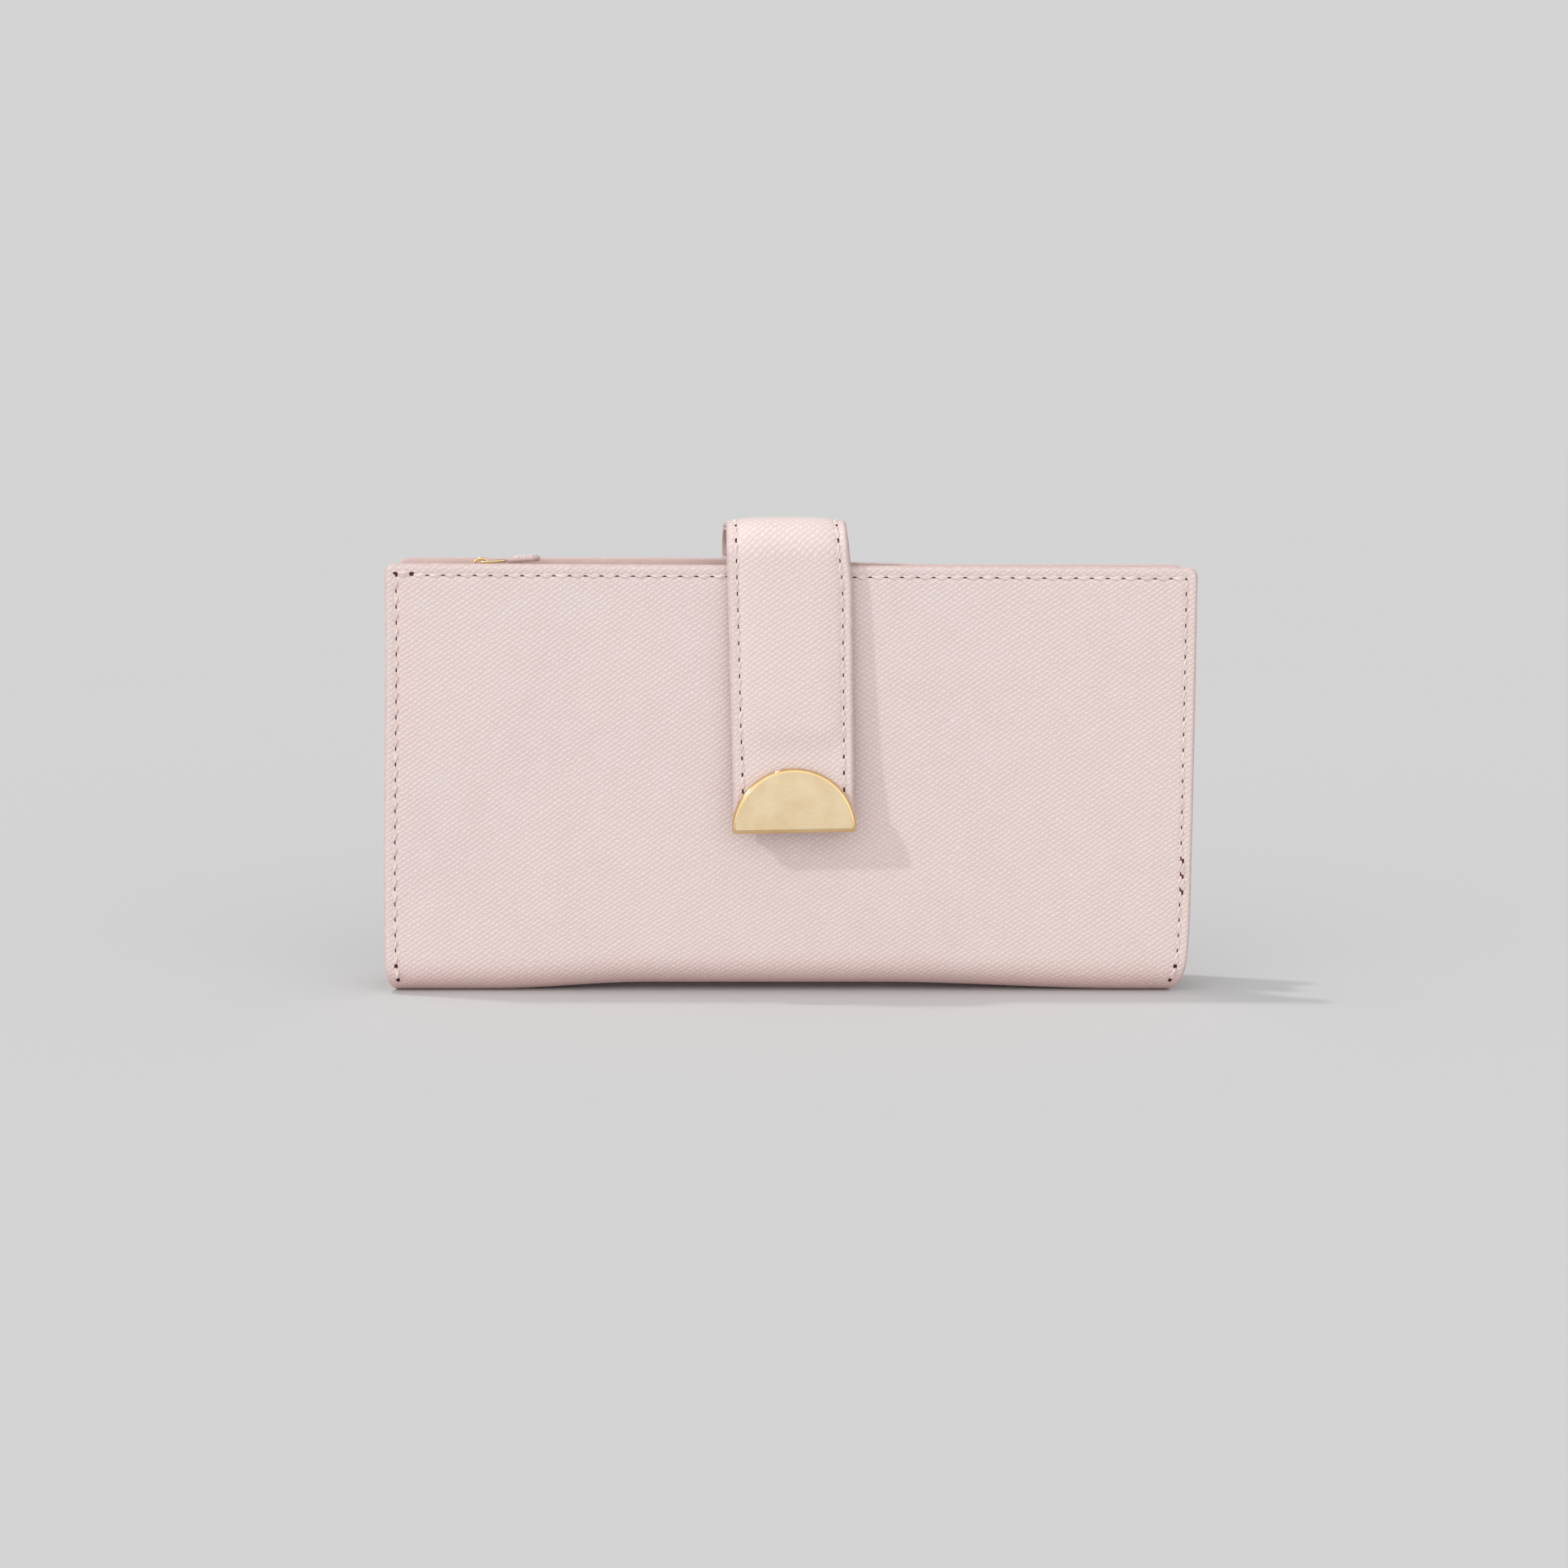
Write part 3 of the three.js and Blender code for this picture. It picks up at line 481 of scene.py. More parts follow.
def grain_leather():
    """Cross-hatched embossed leather, with painted edges where the sheet's rim attribute says. Its colour
    also carries painted highlights on the grain's ridges, painted shade in its valleys, and painted shade
    over the leaf's lower fold.
    """
    n = new_material("grain_leather")
    flat = n.attribute("flat", "Vector")
    x, t, _ = n.split(flat)
    wander = n.ramp(n.noise(flat, 0.55), 0.3, 0.7, -0.2, 0.2)
    c, s = math.cos(GRAIN_ANGLE), math.sin(GRAIN_ANGLE)
    along = n.plus(n.times(x, c), n.times(t, s))
    across = n.math("SUBTRACT", n.times(t, c), n.times(x, s))
    across = n.plus(across, wander)
    ridge = n.math("SINE", n.times(across, 2 * math.pi / GRAIN_SPACING))
    ridge = n.times(n.plus(ridge, 1.0), 0.5)
    # a second set of lines cuts the ridges into short dashes that step from ridge to ridge
    phase = n.times(along, 2 * math.pi / GRAIN_DASH)
    phase = n.plus(phase, n.times(across, GRAIN_STAGGER))
    dash = n.times(n.plus(n.math("SINE", phase), 1.0), 0.5)
    pebble = n.noise(flat, 1.9, 3.0)
    height = n.times(ridge, n.plus(n.times(dash, 0.7), 0.3))
    height = n.plus(height, n.times(pebble, 0.3))

    rim = n.attribute("rim", "Fac")
    face = n.ramp(rim, 0.15, 0.75, 1.0, 0.0)
    pearl = n.ramp(n.noise(flat, 0.16, 3.0), 0.35, 0.68)
    drift = n.ramp(n.noise(n.combine(n.plus(x, 40.0), t, 5.0), 0.035), 0.35, 0.65)
    skin = n.mix(pearl, srgb(226, 205, 202), srgb(230, 213, 212))
    skin = n.mix(n.times(drift, 0.6), skin, srgb(233, 214, 206))
    speck = n.ramp(n.noise(flat, 1.3), 0.42, 0.72)
    skin = n.mix(n.times(speck, 0.25), skin, srgb(222, 205, 215))
    warm = n.ramp(n.math("SUBTRACT", x, n.math("ABSOLUTE", t)), -120, 60, 0.0, 0.4)
    skin = n.mix(warm, skin, srgb(232, 211, 200))
    # painted shade and reddish bounce light: the leaf's face turns darker and redder over its lower fold,
    # where it curves under towards the floor
    fold = n.times(n.ramp(t, 8, 16, 0.8, 0.0), n.math("GREATER_THAN", t, -0.01))
    skin = n.mix(fold, skin, srgb(224, 168, 160))
    # painted highlight and shade: the colour is lighter on the grain's ridges and darker in its valleys,
    # keyed to the grain's height
    grain = n.mix(n.ramp(height, 0.1, 1.05), srgb(203, 180, 177), srgb(243, 229, 225))
    skin = n.mix(0.45, skin, grain)
    worn = n.ramp(n.noise(flat, 0.9, 3.0), 0.4, 0.7)
    paint = n.mix(worn, srgb(205, 180, 176), srgb(218, 196, 193))
    return n.finish(
        Base_Color=n.mix(face, paint, skin),
        Roughness=n.ramp(height, 0.0, 1.2, 0.58, 0.42),
        Normal=n.bump(n.times(height, face), 0.00009, 0.75),
        Specular_IOR_Level=0.45,
        Coat_Weight=0.06,
        Coat_Roughness=0.35,
        Sheen_Weight=0.08,
        Sheen_Roughness=0.5,
    )


def smooth_leather():
    """Thin lining leather: fine pores and a soft mottle."""
    n = new_material("smooth_leather")
    flat = n.attribute("flat", "Vector")
    mottle = n.ramp(n.noise(flat, 0.45, 4.0), 0.3, 0.7)
    pores = n.noise(flat, 4.2, 3.0)
    colour = n.mix(mottle, srgb(215, 189, 185), srgb(221, 197, 193))
    colour = n.mix(n.ramp(pores, 0.45, 0.7, 0.0, 0.35), colour, srgb(200, 172, 168))
    edge = n.ramp(n.attribute("rim", "Fac"), 0.3, 1.0, 0.0, 0.8)
    return n.finish(
        Base_Color=n.mix(edge, colour, srgb(198, 168, 164)),
        Roughness=n.ramp(pores, 0.3, 0.7, 0.62, 0.5),
        Normal=n.bump(n.plus(pores, n.times(mottle, 0.4)), 0.00004, 0.5),
        Specular_IOR_Level=0.4,
        Sheen_Weight=0.05,
    )


def thread():
    n = new_material("thread")
    point = n.object_point()
    fibres = n.noise(point, 5200.0)
    broad = n.ramp(n.noise(point, 420.0), 0.35, 0.65)
    colour = n.mix(broad, srgb(228, 208, 203), srgb(242, 229, 222))
    colour = n.mix(n.ramp(fibres, 0.35, 0.7, 0.0, 0.35), colour, srgb(212, 186, 180))
    return n.finish(
        Base_Color=colour,
        Roughness=0.75,
        Normal=n.bump(fibres, 0.00003, 0.6),
        Sheen_Weight=0.15,
    )


# painted shade: the needle holes' dark brown colour stands in for the shade inside each hole
def needle_hole_shade():
    n = new_material("needle_hole_shade")
    spots = n.ramp(n.noise(n.object_point(), 1500.0), 0.35, 0.65)
    colour = n.mix(spots, srgb(58, 27, 27), srgb(92, 52, 48))
    return n.finish(Base_Color=colour, Roughness=0.9, Specular_IOR_Level=0.1)


def gold(name, roughness, brushed=False, tones=((232, 206, 164), (241, 219, 182))):
    n = new_material(name)
    point = n.object_point()
    x, y, z = n.split(point)
    stretched = n.combine(n.times(x, 0.06), y, z)
    marks = n.noise(stretched, 9000.0) if brushed else n.noise(point, 900.0, 3.0)
    tone = n.ramp(n.noise(point, 160.0), 0.35, 0.65)
    return n.finish(
        Base_Color=n.mix(tone, srgb(*tones[0]), srgb(*tones[1])),
        Metallic=1.0,
        Roughness=n.ramp(marks, 0.3, 0.7, roughness - 0.05, roughness + 0.07),
        Normal=n.bump(marks, 0.000005, 0.5),
    )


def zip_tape():
    """Woven tape: fine ribs both ways."""
    n = new_material("zip_tape")
    x, t, _ = n.split(n.attribute("flat", "Vector"))
    warp = n.math("SINE", n.times(x, 2 * math.pi / 0.42))
    weft = n.math("SINE", n.times(t, 2 * math.pi / 0.3))
    weave = n.times(n.plus(n.times(warp, weft), 1.0), 0.5)
    return n.finish(
        Base_Color=n.mix(weave, srgb(190, 160, 156), srgb(219, 195, 190)),
        Roughness=0.85,
        Normal=n.bump(weave, 0.00006, 0.8),
        Sheen_Weight=0.2,
    )


def fibre(name, dark, light):
    """Pressed board or felt."""
    n = new_material(name)
    fibres = n.ramp(n.noise(n.object_point(), 1400.0, 4.0), 0.35, 0.65)
    return n.finish(
        Base_Color=n.mix(fibres, srgb(*dark), srgb(*light)),
        Roughness=0.9,
        Normal=n.bump(fibres, 0.00003, 0.5),
    )


GRAIN = grain_leather()
SMOOTH = smooth_leather()
THREAD = thread()
HOLE_SHADE = needle_hole_shade()
POLISHED = gold("polished_gold", 0.14)
# painted reflection: the rim uses a deeper-toned copy of the plate's gold, standing in for the dark
# surroundings its rounded bevel reflects; its lower roughness is the real polished finish
RIM_GOLD_PAINTED_REFLECTION = gold("rim_gold_painted_reflection", 0.1, tones=((228, 192, 138), (240, 206, 154)))
SATIN = gold("satin_gold", 0.3, brushed=True)
TAPE_CLOTH = zip_tape()
BOARD = fibre("fibre_board", (176, 160, 136), (204, 190, 166))

for node, cad_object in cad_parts.items():
    cad_object.data.materials.clear()
    cad_object.data.materials.append(BOARD if "board" in node else POLISHED)


# ------------------------------------------------------------------ stitching

def stitch(start, finish, surface, radius):
    """One stitch of two twisted plies between needle holes, lying on a surface function."""
    along = np.linspace(0.13, 0.87, 9)
    x = start[0] + (finish[0] - start[0]) * along
    t = start[1] + (finish[1] - start[1]) * along
    base, normal = surface(x, t)
    side = np.cross(normal, unit(np.gradient(base, axis=0)))
    arch = np.sin(np.linspace(0, math.pi, len(along)))
    swell = radius * (0.7 + 0.3 * arch)
    rise = radius * (1.1 * arch ** 0.5 - 0.5)
    plies = []
    for first in (0, math.pi):
        twist = first + 1.6 * math.pi * along
        centre = base + normal * (rise + 0.78 * swell * np.sin(twist))[:, None]
        centre = centre + side * (0.95 * swell * np.cos(twist))[:, None]
        plies.append(tube(centre, swell, sides=7))
    return merged(plies)


def needle_mark(x, t, direction, surface, size):
    """A needle hole: a thin lens set in the leather's face, coloured dark as painted shade for the hole's
    depth.
    """
    base, normal = surface(x, t)
    ahead_of, _ = surface(x + direction[0] * 0.1, t + direction[1] * 0.1)
    ahead = unit(ahead_of - base)[0]
    side = np.cross(normal[0], ahead)
    ring = np.linspace(0, 2 * math.pi, 12, endpoint=False)
    outline = np.array([size * math.cos(w) * ahead + 0.75 * size * math.sin(w) * side for w in ring])
    points = np.concatenate([base + outline - normal * 0.08, base + 0.85 * outline + normal * 0.05])
    count = len(ring)
    faces = [[k, (k + 1) % count, count + (k + 1) % count, count + k] for k in range(count)]
    faces += [list(range(count))[::-1], list(range(count, 2 * count))]
    return points, faces


def seam(name, routes, surface, radius=THREAD_RADIUS, hole=0.62):
    """Stitches and needle holes along routes of (x, t) points. Returns both pieces."""
    stitches, holes = [], []
    for route in routes:
        route = np.asarray(route, float)
        stitches += [stitch(a, b, surface, radius) for a, b in zip(route, route[1:])]
        for k, (x, t) in enumerate(route):
            step = route[min(k + 1, len(route) - 1)] - route[max(k - 1, 0)]
            holes.append(needle_mark(x, t, unit(step), surface, hole))
    pieces = [
        new_object(name, *merged(stitches), THREAD),
        new_object(f"{name}_holes", *merged(holes), HOLE_SHADE),
    ]
    return pieces


def evenly(start, finish, pitch=STITCH):
    """Points from start to finish, one pitch apart or nearly."""
    start, finish = np.asarray(start, float), np.asarray(finish, float)
    count = max(1, int(round(np.linalg.norm(finish - start) / pitch)))
    return [tuple(start + (finish - start) * k / count) for k in range(count + 1)]


# ------------------------------------------------------------------ covers and linings

WALL_START = SPINE_FOOT + SPINE_RADIUS * math.pi / 2   # T where a leaf's wall turns straight up


def cover_section(t):
    """The outer face of half the cover, from the foot's middle outwards and up: its distance from
    the middle plane, its height, and its outward normal."""
    t = np.asarray(t, float)
    angle = np.clip((t - SPINE_FOOT) / SPINE_RADIUS, 0, math.pi / 2)
    out = np.minimum(t, SPINE_FOOT) + SPINE_RADIUS * np.sin(angle)
    up = SPINE_RADIUS * (1 - np.cos(angle)) + np.maximum(t - WALL_START, 0)
    return out, up, np.sin(angle), -np.cos(angle)


def reach_left(t):
    """Half-length of the cover on its left: it widens downwards, and the fold draws the end in."""
    _, up, _, _ = cover_section(t)
    return HALF_LENGTH + LEFT_SPREAD * (1 - smoothstep(up, 10, 88)) - LEFT_TUCK * np.exp(-up / 1.8)


def reach_right(t):
    _, up, _, _ = cover_section(t)
    return HALF_LENGTH - 0.5 * np.exp(-up / 30) - RIGHT_TUCK * np.exp(-up / 3.5)


class Leaf:
    """One leaf of the cover with its half of the spine. sign is -1 for the front, 1 for the back."""

    def __init__(self, name, sign, top, lift):
        self.name = name
        self.sign = sign
        self.top = top
        self.lift = lift
        self.end = WALL_START + top - SPINE_RADIUS
        self.body = f"{name}_cover"

    def margin(self, x, t):
        """Distance from the nearest cut edge."""
        return np.minimum.reduce([x + reach_left(t), reach_right(t) - x, self.end - t])

    def place(self, x, t, below, bow):
        """The point at a depth below the outer face, on a wall that bows out by a share."""
        out, up, n_out, n_up = cover_section(t)
        rise = np.clip(up / self.top, 0, 1)
        swell = np.sin(math.pi * rise) * bow
        below = below - swell * (0.3 * (1 - (x / HALF_LENGTH) ** 2) + 0.1 * np.sin(x / 13 + 0.6) * rise)
        wave = FOLD_ARCH * smoothstep(x, -64, -30) * (1 - smoothstep(x, 18, 72)) * (1 - smoothstep(up, 0, 26))
        y = self.sign * (out - n_out * below)
        z = up - n_up * below + wave + self.lift(x) * rise ** 2
        return np.stack([x, y, z], -1)

    def leather_point(self, x, t, d):
        _, up, _, _ = cover_section(t)
        margin = self.margin(x, t)
        wall = smoothstep(up, 4, 9)
        thickness = LEATHER + RIM * wall
        thickness = np.where((margin > RIM_WIDTH + 0.15) & (up > BOARD_BOTTOM), LEATHER, thickness)
        groove = 0.22 * bell(margin, SEAM_INSET, 0.42) - 0.06 * bell(margin, SEAM_INSET / 2, 0.6)
        below = thickness * (1 - d) / 2 + groove * wall * (d + 1) / 2
        return self.place(x, t, below, bow=1.0)

    def lining_point(self, x, t, d):
        _, up, _, _ = cover_section(t)
        below = LEATHER + GAP + RIM * smoothstep(up, 4, 9) + LINING * (1 - d) / 2
        return self.place(x, t, below, bow=0.0)

    def bend(self, piece):
        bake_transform(piece)

    def make_leather(self):
        sheet = Sheet(
            0, self.end, reach_left, reach_right, self.leather_point,
            edge=0.45, butt=("start",), lines=(1.5, 1.95, 2.4, 2.85, 3.25, 3.5, 5), step=(2.6, 1.6),
            corner=LEAF_CORNER,
        )
        piece = sheet.build(f"{self.name}_leather", GRAIN)
        nodes = [f"{self.body}_leather"] + (["spine_leather"] if self.sign < 0 else [])
        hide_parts(*nodes)
        sheet.declare(piece, "folded", [f"{self.body}_board"])
        self.bend(piece)
        self.sheet = sheet

    def make_lining(self):
        inset = 0.15
        sheet = Sheet(
            0, self.end - inset, lambda t: reach_left(t) - inset, lambda t: reach_right(t) - inset,
            self.lining_point, edge=0.25, butt=("start",), lines=(2.4,), step=(4, 1.6), corner=LEAF_CORNER,
        )
        piece = sheet.build(f"{self.name}_lining_leather", SMOOTH)
        nodes = [f"{self.name}_lining"] + (["spine_lining"] if self.sign < 0 else [])
        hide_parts(*nodes)
        sheet.declare(piece, "folded", [f"{self.body}_board"])
        self.bend(piece)

    def make_seam(self):
        """The seam along the left, top and right edges, with both ends sewn twice."""
        corner = self.end - SEAM_INSET
        low = WALL_START - 3.4
        left = [(-reach_left(t) + SEAM_INSET, t) for _, t in evenly((0, low), (0, corner))]
        right = [(reach_right(t) - SEAM_INSET, t) for _, t in evenly((0, corner), (0, low))]
        over = evenly(left[-1], right[0])
        route = left + over[1:-1] + right
        locks = [[(x, t + 0.45) for x, t in over[:2]], [(x + 0.45, t - 0.6) for x, t in right[-9:-6]]]
        pieces = seam(f"{self.name}_seam_thread_sewn", [route, *locks], self.sheet.surface)
        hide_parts(f"{self.name}_seam_thread")
        for piece in pieces:
            self.bend(piece)


front = Leaf("front", -1, FRONT_TOP, lambda x: -0.41 * x / HALF_LENGTH - 0.24)
back = Leaf("back", 1, BACK_TOP, lambda x: 0.3 - 1.5 * smoothstep(x, -30, 40))
for leaf in (front, back):
    leaf.make_leather()
    leaf.make_lining()
    leaf.make_seam()


# ------------------------------------------------------------------ strap

SHOULDER_OFFSET = STRAP_SPAN - SHOULDER_RADIUS
FRONT_TURN = math.pi / 2 - STRAP_SLANT
LEG_START = SHOULDER_OFFSET + SHOULDER_RADIUS * FRONT_TURN
TIP_END = LEG_START + STRAP_LEG
ROOT_START = SHOULDER_OFFSET + SHOULDER_RADIUS * math.pi / 2
ROOT_END = ROOT_START + SHOULDER_Z - STRAP_ROOT_BOTTOM
PLATE_TOP = TIP_END - PLATE_HEIGHT


def strap_point(sign, x, t, out):
    """The point at T from the middle of the arch, going down the front (sign -1) or the back (1),
    at a distance out from the strap's inner face."""
    turn = FRONT_TURN if sign < 0 else math.pi / 2
    straight = SHOULDER_OFFSET + SHOULDER_RADIUS * turn
    down = np.maximum(t - straight, 0)
    lean = math.tan(STRAP_LEAN) if sign < 0 else 0
    down = down - lean * x * smoothstep(down, 5, 45)
    angle = np.clip((t - SHOULDER_OFFSET) / SHOULDER_RADIUS, 0, turn)
    reach = np.minimum(t, SHOULDER_OFFSET) + SHOULDER_RADIUS * np.sin(angle) + down * np.cos(angle)
    height = SHOULDER_Z + SHOULDER_RADIUS * np.cos(angle) - down * np.sin(angle)
    y = sign * (reach + out * np.sin(angle))
    return np.stack([x + lean * down, y, height + out * np.cos(angle)], -1)


STRAP_SHIFT = -0.4          # of the whole strap, along X


class StrapHalf:
    """The strap from the middle of its arch down one side of the wallet."""

    def __init__(self, name, sign, end, widths, bodies, bend):
        self.name = name
        self.sign = sign
        self.end = end
        self.widths = widths
        self.bodies = bodies
        self.bend_points = bend

    def half_width(self, t):
        return np.interp(t, *self.widths)

    def right_width(self, t):
        """The strap's right edge is drawn in where it bends over the top."""
        return self.half_width(t) - STRAP_PINCH * (1 - smoothstep(t, 4, 22))

    def leather_point(self, x, t, d):
        width = np.where(x > 0, self.right_width(t), self.half_width(t))
        margin = width - np.abs(x)
        across = np.clip(np.abs(x) / (width - STRAP_SEAM_INSET), 0, 1)
        dome = STRAP_DOME * (1 - across ** 4) ** 0.8
        if self.sign < 0:
            dome = dome * (1 - smoothstep(t, PLATE_TOP - 8, PLATE_TOP - 1.5))
            under_plate = smoothstep(t, PLATE_TOP - 6, PLATE_TOP + 6)
            flange = STRAP_FLANGE + (STRAP_AT_PLATE - STRAP_FLANGE) * under_plate
            inner = np.full_like(t, STRAP_LINING + GAP)
        else:
            dome = dome * smoothstep(self.end - t, 2.2, 8)
            flange = np.full_like(t, STRAP_FLANGE)
            inner = (STRAP_LINING + GAP) * (1 - smoothstep(t, ROOT_START + 0.4, ROOT_START + 3))
            inner = inner + 0.05
        groove = 0.16 * bell(margin, STRAP_SEAM_INSET, 0.4)
        outer = flange + dome - groove
        return strap_point(self.sign, x + self.drift(t), t, inner + (outer - inner) * (d + 1) / 2)

    def lining_point(self, x, t, d):
        return strap_point(self.sign, x + self.drift(t), t, STRAP_LINING * (d + 1) / 2)

    def drift(self, t):
        """How far the strap's middle lies to the side: more so at its root."""
        return STRAP_SHIFT - (0.4 * smoothstep(t, 0, 12) if self.sign > 0 else 0)

    def bend(self, piece):
        start, end = [tuple(value * MM for value in point) for point in self.bend_points]
        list(self.bodies)
        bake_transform(piece)
        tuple(start)
        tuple(end)

    def make(self, leather_nodes, lining_nodes, lining_end):
        sheet = Sheet(
            0, self.end, self.half_width, self.right_width, self.leather_point,
            edge=0.55, butt=("start",), lines=(1.6, 2.1, 2.6, 3.1, 3.8), step=(1.8, 1.1), corner=0.9,
            upward=-1,
        )
        piece = sheet.build(f"{self.name}_leather_padded", GRAIN)
        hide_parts(*leather_nodes)
        self.bend(piece)
        self.sheet = sheet

        lining = Sheet(
            0, lining_end, self.half_width, self.right_width, self.lining_point,
            edge=0.25, butt=("start",), step=(3, 1.1), corner=0.9,
        )
        under = lining.build(f"{self.name}_lining_leather", SMOOTH)
        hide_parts(*lining_nodes)
        lining.declare(under, "folded", [piece.name])
        self.bend(under)

    def make_seam(self, routes, nodes):
        pieces = seam(f"{self.name}_thread_sewn", routes, self.sheet.surface)
        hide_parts(*nodes)
        for piece in pieces:
            self.bend(piece)


tip = StrapHalf(
    "strap_front", -1, TIP_END, ([0, LEG_START, TIP_END], [13.3, 12.9, 12.5]),
    ("strap_arch", "strap_tip"), ((0, -5.5, 97.5), (0, -12.6, 89.5)),
)
tip.make(["strap_tip_leather", "strap_tip_padding"], ["strap_tip_lining"], TIP_END)
root = StrapHalf(
    "strap_back", 1, ROOT_END, ([0, 12, ROOT_END], [13.3, 14.0, 14.2]),
    ("back_cover", "strap_arch"), ((0, 12.6, 89.5), (0, 5.5, 97.5)),
)
root_leather = ["strap_root_leather", "strap_arch_leather", "strap_arch_padding"]
root.make(root_leather, ["strap_arch_lining"], ROOT_START + 0.3)


def strap_line(half, side, start, end):
    """A row of stitches beside one edge of the strap."""
    width = half.right_width if side > 0 else half.half_width
    return [
        (side * (width(t) - STRAP_SEAM_INSET), t)
        for _, t in evenly((0, start), (0, end))
    ]


half_pitch = STITCH / 2
tip_rows = [strap_line(tip, side, half_pitch, PLATE_TOP + 5.2) for side in (-1, 1)]
tip.make_seam(tip_rows, ["strap_thread_left", "strap_thread_right"])
corner_t = ROOT_END - STRAP_SEAM_INSET
root_rows = [strap_line(root, side, -half_pitch, corner_t) for side in (-1, 1)]
cross = root.half_width(corner_t) - STRAP_SEAM_INSET
root_rows.append(evenly((-cross, corner_t), (cross, corner_t)))
root_rows.append(evenly((-cross, ROOT_START + 5), (cross, ROOT_START + 5)))
root.make_seam(root_rows, ["strap_root_thread"])


# ------------------------------------------------------------------ half-moon plate

def half_moon(inset, steps=40):
    """The plate's outline drawn in from its edge: X across it and Y up from its lower edge."""
    radius = PLATE_RADIUS - inset
    rise = PLATE_HEIGHT - PLATE_RADIUS
    corner = max(0.9 - inset, 0.12)
    points = []
    for side, start in ((1, -90), (-1, 180)):
        for k in range(5):
            w = math.radians(start + 90 * k / 4)
            middle = (side * (radius - corner), inset + corner)
            points.append((middle[0] + corner * math.cos(w), middle[1] + corner * math.sin(w)))
        if side > 0:
            low = math.asin(max((inset + corner - rise) / radius, 0)) + 0.03
            for k in range(steps + 1):
                w = low + (math.pi - 2 * low) * k / steps
                points.append((radius * math.cos(w), rise + radius * math.sin(w)))
    return points


def on_plate(x, y, z):
    """From the plate's own frame to the wallet: Z is outwards from the plate's back."""
    return strap_point(-1, x + STRAP_SHIFT, TIP_END + PLATE_DROP - y, STRAP_AT_PLATE + PLATE_GAP + z)


rim_levels = [
    (0.3, 0.0), (0.0, 0.25), (0.0, 1.05), (0.05, 1.32), (0.16, 1.56), (0.34, 1.74), (0.56, 1.83),
    (0.74, 1.86), (0.76, 1.7),
]
rim_body = layered([half_moon(inset) for inset, _ in rim_levels], [height for _, height in rim_levels])
plate = new_object("half_moon_plate_rim", *fitted(rim_body, on_plate), RIM_GOLD_PAINTED_REFLECTION, sharp=60)
fasten(plate, "gold_fittings", "strap_tip", "half_moon_plate")
face_levels = [(0.76, 1.65), (0.76, 1.84), (0.84, 1.88)]
face_body = layered([half_moon(inset) for inset, _ in face_levels], [height for _, height in face_levels])
face = new_object("half_moon_plate_face", *fitted(face_body, on_plate), SATIN, sharp=10)
fasten(face, "gold_fittings", "strap_tip")


# ------------------------------------------------------------------ pockets and pouch

def millimetres(node):
    low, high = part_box(node)
    return np.array(low) / MM, np.array(high) / MM


class Panel:
    """A flat leather piece standing in a CAD node's box. It faces way (-1 or 1) along Y, and its
    sewn edges reach back to what is behind it."""

    def __init__(self, node, body, way, behind, thickness=0.6, slack=True, corner=1.0, lines=()):
        self.node = node
        self.body = body
        self.way = way
        self.behind = behind
        self.thickness = thickness
        self.slack = slack
        self.low, self.high = millimetres(node)
        self.middle = (self.low[0] + self.high[0]) / 2
        half = (self.high[0] - self.low[0]) / 2
        self.half = half
        self.height = self.high[2] - self.low[2]
        self.sheet = Sheet(
            0, self.height, half, half, self.point,
            edge=0.22, lines=(1.2, 2.0, 2.8, *lines), step=(4, 4), corner=corner,
            corners=("start", "end"),
        )

    def point(self, x, t, d):
        depth = self.high[1] - self.low[1] - 0.06
        margin = np.minimum(self.half - np.abs(x), t)
        hold = 1 - smoothstep(margin, 1.6, 2.8) if self.slack else np.zeros_like(x)
        thickness = self.thickness + (depth - self.thickness) * hold
        crease = 0.07 * bell(self.height - t, 1.5, 0.3) - 0.05 * bell(self.height - t, 0.7, 0.5)
        give = 0.12 * np.sin(math.pi * np.clip(t / self.height, 0, 1)) * np.cos(x / self.half * math.pi / 2)
        face = self.high[1] if self.way > 0 else self.low[1]
        inward = 0.03 + crease * (d + 1) / 2 + give * (1 - hold) + thickness * (1 - d) / 2
        y = face - self.way * inward
        return np.stack([self.middle + x, y, self.low[2] + t], -1)

    def make(self, held="laid"):
        piece = self.sheet.build(f"{self.node}_sheet", SMOOTH)
        fasten(piece, "lining_leather", self.body, self.node)
        self.sheet.declare(piece, held, self.behind)
        return piece

    def sew(self, bottom, sides=(-1, 1), across=False):
        """Stitches down the sides from the mouth to bottom, and along the lower edge."""
        top = self.height - POCKET_SEAM_TOP
        side = self.half - POCKET_SEAM_INSET
        routes = [evenly((s * side, top), (s * side, bottom), POCKET_STITCH) for s in sides]
        if across:
            low = POCKET_SEAM_INSET
            routes.append(evenly((-side, low), (side, low), POCKET_STITCH))
        for piece in seam(f"{self.node}_sewing", routes, self.sheet.surface, radius=0.17, hole=0.34):
            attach(piece, self.body)


